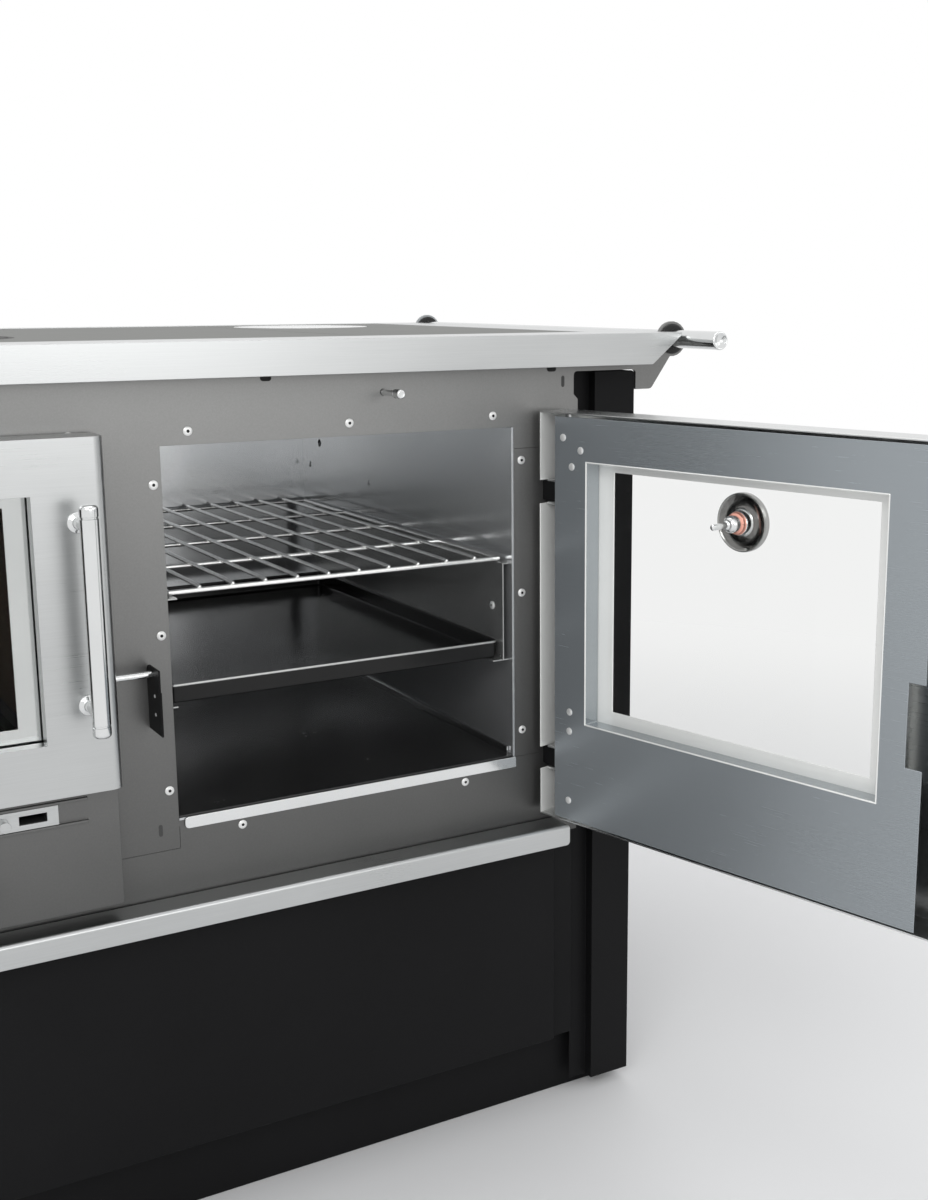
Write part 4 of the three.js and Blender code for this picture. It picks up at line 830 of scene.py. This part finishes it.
@dataclass
class PlateMarks(Part):
    """Thin marks on the front plate, each a low pillow over a rectangle.

    Attributes:
        name: Name of the piece.
        rects: Low and high x, low and high z of each mark.
        finish: Its finish.
        rise: How far the marks stand off the plate.
    """

    name: str
    rects: Sequence[Rect]
    finish: Finish
    rise: float

    def build(self) -> list[Object]:
        """Lofts each mark from the plate to its slightly smaller face.

        Returns:
            One piece with all marks.
        """
        surface = Surface()
        for rect in self.rects:
            corner = min(rect[1] - rect[0], rect[3] - rect[2]) / 2
            profile = [(0.0, FRONT_Y + 0.1), (0.0, FRONT_Y - self.rise * 0.6),
                       (corner * 0.3, FRONT_Y - self.rise)]
            surface.loft(rect, profile, corner, True)
        return surface.build(self.name, [self.finish], "body")


PLATE_MARKS = (
    # Painted shade: the slots are dark marks standing where the shade inside a cut slot would be.
    PlateMarks("plate_slots", [(370.7, 374.5, 805.3, 816.9), (-72.9, -69.1, 402.4, 414.0)],
               SLOT, 0.25),
    PlateMarks("plate_tabs", [(44.0, 54.5, 821.5, 827.0), (353.5, 364.0, 821.5, 827.0)],
               SOCKET, 1.2),
    PlateMarks("plate_seams", [(314.2, 343.0, 744.6, 745.1), (314.2, 343.0, 416.8, 417.3),
                               (-53.2, -52.7, 388.0, 409.0), (-120.0, -53.0, 387.4, 387.9)],
               SLOT, 0.12),
)


# --- rails
@dataclass
class Rail(Part):
    """Side rail with its two collars.

    Attributes:
        side: Name of the side.
        sign: -1 on the left and 1 on the right.
        radius: Radius of the tube.
        start: Front end of the tube.
        end: Rear end of the tube.
        collars: Name and place along Y of each collar.
    """

    side: str
    sign: int
    radius: float = 9.5
    start: float = -361.0
    end: float = 314.0
    collars: tuple[tuple[str, float], ...] = (("front", FRONT_Y), ("rear", 296.0))

    def build(self) -> list[Object]:
        """Turns the tube with a slightly dished front end, and the two collars.

        Returns:
            The tube and the collars.
        """
        length = self.end - self.start
        r = self.radius
        tube = Surface()
        profile = [((r - 1.6) * t, 3.4 * math.cos(t * math.pi / 2))
                   for t in np.linspace(0.0, 1.0, 9)]
        profile += [(r - 1.2, 0.0)]
        profile += [(r - 1.2 + 1.2 * math.sin(t), 1.2 - 1.2 * math.cos(t))
                    for t in (0.4, 0.8, 1.2, 1.57)]
        profile += [(r, 40.0), (r, length - 1.5), (r - 1.5, length), (r - 1.6, length),
                    (r - 1.6, length - 30.0), (0.0, length - 30.0)]
        tube.revolve(profile, (self.sign * RAIL_X, self.start, RAIL_Z), BEHIND, 0, 56)
        pieces = tube.build(f"rail_{self.side}_tube", [POLISHED], "body", f"rail_{self.side}")
        for place, y in self.collars:
            pieces += self._collar(place, y)
        return pieces

    def _collar(self, place: str, y: float) -> list[Object]:
        """Turns a collar with a groove round its middle.

        Args:
            place: Which end of the rail it sits at.
            y: Its place along Y.

        Returns:
            The collar alone.
        """
        bore = self.radius + 0.3
        outline = [(bore, -3.2), (14.2, -3.2), (15.9, -1.8), (15.9, -0.3), (12.6, -0.3),
                   (12.6, 4.3), (15.9, 4.3), (15.9, 5.8), (14.2, 7.2), (bore, 7.2), (bore, -3.2)]
        ring = Surface()
        ring.revolve(fillet(outline, 0.8), (self.sign * RAIL_X, y, RAIL_Z), BEHIND, 0, 56)
        name = f"collar_{place}_{self.side}"
        return ring.build(name + "_ring", [COLLAR], "body", name)


# --- oven
@dataclass
class WireGrid(Part):
    """Wire grid: long wires over cross bars inside two side bars.

    Attributes:
        wires: Number of long wires.
        pitch: Distance between them.
        bars: Number of cross bars.
        front: Front edge.
        depth: Depth of the grid.
        wire: Radius of a long wire.
        bar: Radius of a bar.
        height: Height of the bars' axes.
    """

    wires: int = 10
    pitch: float = 32.6
    bars: int = 5
    front: float = -259.0
    depth: float = 527.0
    wire: float = 2.1
    bar: float = 2.4
    height: float = 629.0

    def build(self) -> list[Object]:
        """Sweeps every wire; each long wire dips a little at its ends, where it is welded down.

        The dip is 0.5 * exp(-distance from the end / 6).

        Returns:
            The grid as one piece.
        """
        low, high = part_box("oven_grid")
        left, right = low.x / MM + self.bar, high.x / MM - self.bar
        near, back, z = self.front + self.bar, self.front + self.depth, self.height
        surface = Surface()
        for x in (left, right):
            surface.tube(np.linspace((x, near, z), (x, back - self.bar, z), 24), self.bar)
        for k in range(self.bars):
            y = near + (self.depth - 2 * self.bar) * k / (self.bars - 1)
            surface.tube(np.linspace((left, y, z), (right, y, z), 12), self.bar)
        first = (left + right) / 2 - self.pitch * (self.wires - 1) / 2
        along = np.linspace(self.front + 1.2, back - 1.2, 40)
        dip = 0.5 * np.exp(-np.minimum(along - self.front, back - along) / 6.0)
        lift = self.bar + self.wire * 0.62 - dip
        for k in range(self.wires):
            path = np.stack([np.full(40, first + self.pitch * k), along, z + lift], -1)
            surface.tube(path, self.wire, 12)
        return surface.build("oven_grid_wires", [WIRE], "grid", "oven_grid")


@dataclass
class BakingTray(Part):
    """Pan pressed from sheet, whose rolled rim takes a bright steel band as a painted highlight.

    Attributes:
        corner: Corner radius.
        painted_highlight_bands: First and last band of the section that take the painted
            highlight.
    """

    corner: float = 7.0
    painted_highlight_bands: tuple[int, int] = (4, 7)

    def build(self) -> list[Object]:
        """Lofts the section up the near-upright wall, over the rim and back inside.

        Returns:
            The pan.
        """
        low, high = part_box("baking_tray")
        z0, z1 = low.z / MM, high.z / MM
        section = [(9.0, z0), (4.0, z0 + 0.2), (2.3, z0 + 1.2), (1.6, z0 + 3.0), (1.5, z1 - 3.0),
                   (0.3, z1 - 2.4), (0.0, z1 - 1.5), (0.3, z1 - 0.5), (1.0, z1), (2.0, z1),
                   (2.7, z1 - 0.6), (3.0, z1 - 2.0), (3.2, z0 + 4.2), (4.2, z0 + 2.3),
                   (6.4, z0 + 1.6), (9.6, z0 + 1.5)]
        # The rim's bands take the bright rack steel: a painted highlight on the black enamel.
        first, last = self.painted_highlight_bands
        marks = [int(first <= band <= last) for band in range(len(section) - 1)]
        pan = Surface()
        pan.loft((low.x / MM, high.x / MM, low.y / MM, high.y / MM), section, self.corner,
                 mark=marks)
        return pan.build("baking_tray_pan", [BLACK_SHINE, RACK], "tray", "baking_tray",
                         SHEET_SHARP)


@dataclass
class WindowLip(Part):
    """Bright bead round the oven door's window, whose near-white finish is a painted highlight.

    Attributes:
        radius: Radius of the bead.
    """

    radius: float = 0.8

    def build(self) -> list[Object]:
        """Sweeps the bead along each edge of the opening.

        Returns:
            The lip.
        """
        left, right, low, high = WINDOW_LIP
        y = DOOR_BACK - 0.2
        lip = Surface(door_place())
        for x0, z0, x1, z1 in ((left, low, right, low), (right, low, right, high),
                               (left, high, right, high), (left, low, left, high)):
            lip.tube(np.linspace((x0, y, z0), (x1, y, z1), 8), self.radius, 8)
        return lip.build("oven_window_lip", [BRIGHT], "oven_door")


@dataclass
class FloorEdge(Part):
    """Upturned right edge of the oven's floor plate.

    Attributes:
        half: Half its thickness, and the radius of its round top.
        inset: Distance of its middle from the plate's edge.
        rise: How far it stands over the plate.
        front: Its front end.
    """

    half: float = 0.9
    inset: float = 1.2
    rise: float = 7.5
    front: float = -268.0

    def build(self) -> list[Object]:
        """Carries the thin section along y.

        Returns:
            The edge.
        """
        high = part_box("oven_floor")[1] / MM
        x = high.x - self.inset
        rect = (x - self.half, x + self.half, high.z - 0.4, high.z + self.rise)
        edge = Surface()
        edge.loft(rect, [(0.0, self.front), (0.0, high.y - 2.0)], self.half, True)
        return edge.build("oven_floor_edge", [POLISHED], "body")


@dataclass
class Thermometer(Part):
    """Dial thermometer through the oven door's glass, with its probe on the inside.

    Attributes:
        x: Centre in the closed door.
        z: Centre height.
        face: The case's outer face.
        glass_face: Outer face of the glass.
        glass_back: Inner face of the glass.
        tip: End of the probe.
        ticks: Number of ticks.
        step: Angle between two ticks in degrees.
        first: Angle of the first tick in degrees.
        needle: Angle of the needle in degrees.
    """

    FINISHES = (POLISHED, DIAL, COPPER, SOCKET, CHROME_DARK, CHROME)

    x: float = 130.3
    z: float = 690.3
    face: float = -316.8
    glass_face: float = -308.1
    glass_back: float = -304.1
    tip: float = -264.0
    ticks: int = 31
    step: float = 9.0
    first: float = 225.0
    needle: float = 215.0

    def build(self) -> list[Object]:
        """Turns the case, washer, hub and probe, and lays out the dial, its ticks and needle.

        Returns:
            The thermometer as one piece.
        """
        surface = Surface(door_place())
        at = (self.x, self.face, self.z)
        rim = self.glass_face - 0.3 - self.face
        back = self.glass_back - self.face
        end = self.tip - self.face
        case = fillet([(24.5, 1.2), (25.5, 0.0), (27.4, 0.4), (28.2, 2.0), (28.2, rim - 2.4),
                       (27.8, rim - 0.6), (27.0, rim - 0.2), (25.8, rim - 1.0)], 0.8)
        dish = [(25.8, rim - 1.0), (24.0, rim - 2.4), (20.0, rim - 3.2), (16.0, rim - 3.0),
                (13.4, rim - 1.6)]
        boss = fillet([(13.4, rim - 1.6), (12.6, rim - 0.4), (11.0, rim - 0.1),
                       (5.0, rim - 0.1)], 0.5)
        dial = [(24.5, 1.2), (24.0, 2.4), (0.0, 2.4)]
        stem = [(5.0, rim - 0.1), (5.0, back + 0.3), (11.0, back + 0.3), (11.4, back + 0.8),
                (11.0, back + 1.4)]
        washer = fillet([(11.0, back + 1.4), (10.2, back + 2.2), (10.0, back + 4.8),
                         (8.4, back + 5.4), (8.0, back + 5.6)], 0.5)
        hub = fillet([(8.0, back + 5.6), (8.2, back + 6.2), (8.2, back + 12.0),
                      (6.4, back + 14.5), (4.6, back + 15.5), (4.6, back + 18.5),
                      (2.9, back + 19.5), (2.9, back + 24.0)], 0.7)
        hub += [(2.9, end - 4.0), (2.7, end - 1.6), (1.7, end - 0.4), (0.0, end)]
        # The case and dish take the darker chrome copies: painted shade.
        for profile, finish, segments in (
                (case, CHROME, 72), (dish, CHROME_DARK, 72), (boss, POLISHED, 72),
                (dial, DIAL, 72), (stem, POLISHED, 48), (washer, COPPER, 48), (hub, POLISHED, 48)):
            surface.revolve(profile, at, BEHIND, self.FINISHES.index(finish), segments)
        for k in range(self.ticks):
            reach, width = (4.0, 0.5) if k % 5 == 0 else (2.2, 0.28)
            self._mark(surface, self.first - self.step * k, 22.0 - reach, 22.0, width, 2.2)
        self._mark(surface, self.needle, -5.0, 17.0, 0.7, 1.9)
        return surface.build("oven_thermometer_case", self.FINISHES, "oven_door",
                             "oven_thermometer")

    def _mark(self, surface: Surface, degrees: float, near: float, far: float, width: float,
              depth: float) -> None:
        """Lays a dark bar on the dial.

        Args:
            surface: Surface that takes it.
            degrees: Its direction from the dial's middle.
            near: Where it starts.
            far: Where it ends.
            width: Half its width.
            depth: Its distance behind the case's face.
        """
        dark, angle = self.FINISHES.index(SOCKET), math.radians(degrees)
        ahead = np.array([math.cos(angle), 0.0, math.sin(angle)])
        side = np.array([-math.sin(angle), 0.0, math.cos(angle)]) * width
        base = np.array([self.x, self.face + depth, self.z])
        low = np.array([base + ahead * near - side, base + ahead * far - side,
                        base + ahead * far + side, base + ahead * near + side])
        high = low + np.array([0.0, 0.15, 0.0])
        surface.rings(np.array([low, high]), dark)
        surface.face(low, dark)
        surface.face(high, dark)


@dataclass
class DoorHandle(Part):
    """Upright bar handle on two posts with round roses.

    Attributes:
        node: Solid it stands for.
        body: Body that carries it.
        x: Bar axis in the closed door.
        z: Lower end of the bar.
        place: Turn of an open door.
        radius: Radius of the bar.
        length: Length of the bar.
        reach: Distance of its axis from the door's face.
        inset: Distance of each post from the bar's end.
    """

    node: str
    body: str
    x: float
    z: float
    place: Matrix | None = None
    radius: float = 7.9
    length: float = 200.0
    reach: float = 38.0
    inset: float = 20.0

    def build(self) -> list[Object]:
        """Turns the bar with domed ends and grooves, and the posts with their roses.

        Returns:
            The handle as one piece.
        """
        bar = Surface(self.place)
        y = DOOR_FACE - self.reach
        r, n = self.radius, self.length
        half = [(0.0, 0.0), (r * 0.5, 0.25), (r * 0.8, 1.0), (r * 0.95, 2.2), (r, 4.0),
                (r, 10.0), (r - 0.6, 10.4), (r - 0.6, 11.6), (r, 12.0)]
        profile = half + [(a, n - b) for a, b in reversed(half)]
        bar.revolve(profile, (self.x, y, self.z), (0.0, 0.0, 1.0))
        post = fillet([(0.0, r * 0.6), (5.0, r * 0.6), (5.0, self.reach - 4.0),
                       (9.0, self.reach - 2.2), (9.6, self.reach - 0.4),
                       (0.0, self.reach - 0.4)], 1.0)
        for dz in (self.inset, n - self.inset):
            bar.revolve(post, (self.x, y, self.z + dz), BEHIND, 0, 40)
        return bar.build(self.node + "_bar", [POLISHED], self.body, self.node)


@dataclass
class DamperRod(Part):
    """Damper pull: rod with a turned knob that has a waist.

    Attributes:
        x: Axis of the rod.
        z: Height of the rod.
        start: Face of the knob.
        end: Rear end of the rod.
    """

    x: float = 168.3
    z: float = 807.3
    start: float = FRONT_Y - 40.0
    end: float = 90.0

    def build(self) -> list[Object]:
        """Turns the knob and the rod in one profile.

        Returns:
            The rod.
        """
        length = self.end - self.start
        knob = fillet([(0.0, 0.3), (3.4, 0.0), (4.4, 1.0), (4.4, 9.0), (3.9, 9.6), (3.9, 10.6),
                       (4.4, 11.2), (4.4, 12.6), (3.0, 14.0), (3.0, 20.0)], 0.4)
        rod = Surface()
        rod.revolve(knob + [(3.0, length - 0.5), (2.5, length), (0.0, length)],
                    (self.x, self.start, self.z), BEHIND, 0, 40)
        return rod.build("damper_pull", [POLISHED], "damper_pull", "damper_rod")


@dataclass
class Pane(Part):
    """Pane that keeps its solid and takes clear glass.

    Attributes:
        node: The pane's solid.
    """

    node: str

    def build(self) -> list[Object]:
        """Puts the glass on the solid itself.

        Returns:
            The pane.
        """
        pane = frame["nodes"][self.node]
        pane.data.materials.clear()
        pane.data.materials.append(material_of(GLASS))
        return [pane]


# --- hob
@dataclass
class HobDisc(Part):
    """Round insert of the hob, stepped on its seat.

    Attributes:
        node: Solid it stands for.
        body: Body that carries it.
        centre: Centre on the hob.
        outer: Outer radius above the step.
        inner: Radius of the hole in it, or 0 for a lid.
        grooves: Radii of the turned grooves in its face.
        finish: Its finish.
        low: Height of its underside.
        high: Height of its face.
        step: Width of the step.
    """

    node: str
    body: str
    centre: Pair
    outer: float
    inner: float
    grooves: tuple[float, ...]
    finish: Finish
    low: float = 853.4
    high: float = 859.4
    step: float = 10.0

    def build(self) -> list[Object]:
        """Turns the section: the face with its grooves, the step at the rim and the underside.

        Returns:
            The disc.
        """
        mid, high = (self.low + self.high) / 2, self.high
        edge = self.outer - 0.3
        section = [(self.inner + 0.2 if self.inner else 0.0, high)]
        for r in self.grooves:
            section += [(r - 1.4, high), (r - 0.5, high - 1.1), (r + 0.5, high - 1.1),
                        (r + 1.4, high)]
        section += [(edge - 0.6, high), (edge, high - 0.6), (edge, mid + 0.3),
                    (edge - self.step, mid + 0.3), (edge - self.step, self.low)]
        if self.inner:
            ledge = self.inner - self.step
            section += [(ledge, self.low), (ledge, mid), (self.inner, mid),
                        (self.inner, high - 0.4), section[0]]
        else:
            section += [(0.0, self.low)]
        disc = Surface()
        disc.revolve(section, (*self.centre, 0.0), (0.0, 0.0, 1.0), 0, 128)
        return disc.build(self.node + "_turned", [self.finish], self.body, self.node, 30.0)


HOB_DISCS = (
    HobDisc("hob_ring", "ring", (-242.0, -60.0), 115.0, 70.0, (84.0, 97.0, 108.0), CAST),
    HobDisc("hob_lid", "lid", (-242.0, -60.0), 70.0, 0.0, (22.0, 40.0, 58.0), CAST),
    HobDisc("flue_cover", "cover", (276.0, 185.0), 83.0, 0.0, (70.0,), POLISHED),
)


# --- studio
@dataclass(frozen=True)
class Lamp:
    """Soft rectangular lamp.

    Attributes:
        name: Its name.
        place: Its position in metres.
        target: Point that it faces.
        size: Width in metres.
        power: Power in watts.
        aspect: Height as a share of the width.
    """

    name: str
    place: Triple
    target: Triple
    size: float
    power: float
    aspect: float = 0.7

    def build(self) -> None:
        """Makes the lamp and turns it to its target."""
        data = bpy.data.lights.new(self.name, "AREA")
        data.shape = "RECTANGLE"
        data.size, data.size_y = self.size, self.size * self.aspect
        data.energy = self.power
        lamp = bpy.data.objects.new(self.name, data)
        lamp.location = self.place
        ahead = Vector(self.target) - Vector(self.place)
        lamp.rotation_euler = ahead.to_track_quat("-Z", "Y").to_euler()
        bpy.context.scene.collection.objects.link(lamp)


@dataclass
class Studio:
    """Floor, soft lamps, pale world and the camera.

    Attributes:
        camera_place: Camera position in metres.
        camera_turn: Camera Euler angles in degrees.
        sensor: Height of the sensor in millimetres.
        lens: Focal length in millimetres.
        shift: Sensor shift, as shares of the picture's height.
        floor: Half the floor's width in metres.
        fade: Distances in metres between which the floor passes into the white air.
        lamps: The lamps.
    """

    camera_place: Triple = (-0.4592, -1.5974, 0.9017)
    camera_turn: Triple = (78.380, 0.105, -31.200)
    sensor: float = 36.0
    lens: float = 44.973
    shift: Pair = (-0.06, 0.0)
    floor: float = 6.0
    fade: Pair = (0.8, 2.6)
    lamps: tuple[Lamp, ...] = (
        Lamp("key", (-1.9, -3.0, 2.6), (0.0, -0.2, 0.6), 2.2, 40.0),
        Lamp("front", (0.55, -3.3, 1.15), (0.1, -0.2, 0.6), 1.5, 8.5),
        Lamp("fill", (2.6, -2.4, 2.2), (0.2, -0.2, 0.5), 2.0, 8.0),
        Lamp("crown", (0.0, 0.3, 3.4), (0.0, 0.0, 0.8), 2.6, 26.0),
    )

    def build(self) -> None:
        """Makes everything that isn't part of the stove."""
        self._camera()
        self._world()
        self._floor()
        for lamp in self.lamps:
            lamp.build()
        bpy.context.scene.view_settings.view_transform = "Standard"

    def _camera(self) -> None:
        """Sets up the camera in the photograph's direction."""
        data = bpy.data.cameras.new("camera")
        data.sensor_fit = "VERTICAL"
        data.sensor_height = self.sensor
        data.lens = self.lens
        data.shift_x, data.shift_y = self.shift
        data.clip_start = 0.01
        camera = bpy.data.objects.new("camera", data)
        camera.location = self.camera_place
        camera.rotation_euler = [math.radians(angle) for angle in self.camera_turn]
        bpy.context.scene.collection.objects.link(camera)
        bpy.context.scene.camera = camera

    @staticmethod
    def _seen(nodes: Nodes) -> Socket:
        """Tells the rays that see the white air from those that only light the scene.

        Args:
            nodes: Tree that takes the nodes.

        Returns:
            One for rays from the camera, from gloss and through glass, and nought for the rest.
        """
        path = nodes.add("LightPath", {})
        total = path.outputs["Is Camera Ray"]
        for name in ("Is Glossy Ray", "Is Transmission Ray"):
            total = nodes.add("Math", {0: total, 1: path.outputs[name]}, "MAXIMUM").outputs[0]
        return total

    def _world(self) -> None:
        """Fills the air with soft light that looks white."""
        world = bpy.data.worlds.new("studio_air")
        world.use_nodes = True
        nodes = Nodes(world.node_tree)
        nodes.tree.nodes.clear()
        soft = nodes.add("Background", {"Strength": 0.60, "Color": (0.97, 0.98, 1.0, 1.0)})
        white = nodes.add("Background", {"Strength": 1.0, "Color": (1.0, 1.0, 1.0, 1.0)})
        mix = nodes.add("MixShader", {"Fac": self._seen(nodes), 1: soft.outputs[0],
                                      2: white.outputs[0]})
        nodes.add("OutputWorld", {"Surface": mix.outputs[0]})
        bpy.context.scene.world = world

    def _floor(self) -> None:
        """Lays a pale floor that keeps the shadow near the stove and turns white further out."""
        mesh = bpy.data.meshes.new("studio_floor")
        count = 9
        side = np.linspace(-self.floor, self.floor, count)
        x, y = np.meshgrid(side, side, indexing="ij")
        points = np.stack([x, y, np.full_like(x, -0.0005)], -1).reshape(-1, 3)
        i, j = np.meshgrid(np.arange(count - 1), np.arange(count - 1), indexing="ij")
        here = (i * count + j).ravel()
        quads = np.stack([here, here + count, here + count + 1, here + 1], -1)
        mesh.from_pydata(points.tolist(), [], quads.tolist())
        material = bpy.data.materials.new("floor_white")
        material.use_nodes = True
        nodes = Nodes(material.node_tree)
        shader = nodes.tree.nodes["Principled BSDF"]
        nodes.fill(shader, {"Base Color": (0.93, 0.93, 0.93, 1.0), "Roughness": 0.8})
        place = nodes.add("TexCoord", {}).outputs["Object"]
        reach = nodes.add("VectorMath", {0: place}, "LENGTH").outputs["Value"]
        far = nodes.add("MapRange", {"Value": reach, "From Min": self.fade[0],
                                     "From Max": self.fade[1]})
        far.interpolation_type = "SMOOTHSTEP"
        share = nodes.add("Math", {0: far.outputs["Result"], 1: self._seen(nodes)}, "MULTIPLY")
        white = nodes.add("Emission", {})
        mix = nodes.add("MixShader", {"Fac": share.outputs[0], 1: shader.outputs[0],
                                      2: white.outputs[0]})
        nodes.fill(nodes.tree.nodes["Material Output"], {"Surface": mix.outputs[0]})
        mesh.materials.append(material)
        floor = bpy.data.objects.new("studio_floor", mesh)
        bpy.context.scene.collection.objects.link(floor)


def main() -> None:
    """Builds the studio and every sub-assembly in order, and reports each piece."""
    logging.basicConfig(level=logging.INFO)
    Studio().build()
    parts: list[Part] = [
        *SHEET_PARTS, *HOB_DISCS, *FASTENERS, *PLATE_MARKS, BakingTray(), DamperRod(),
        FloorEdge(), WindowLip(), WireGrid(), Thermometer(), Rail("left", -1), Rail("right", 1),
        DoorHandle("oven_handle", "oven_door", -79.9, 473.4, door_place()),
        DoorHandle("fire_handle", "fire_door", -140.9, 531.0), Pane("oven_glass"),
        Pane("fire_glass"),
    ]
    for part in parts:
        for piece in part.build():
            LOG.info("%s: %s rides on %s, %d faces", type(part).__name__, piece.name,
                     piece["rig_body"], len(piece.data.polygons))


if __name__ == "__main__":
    main()
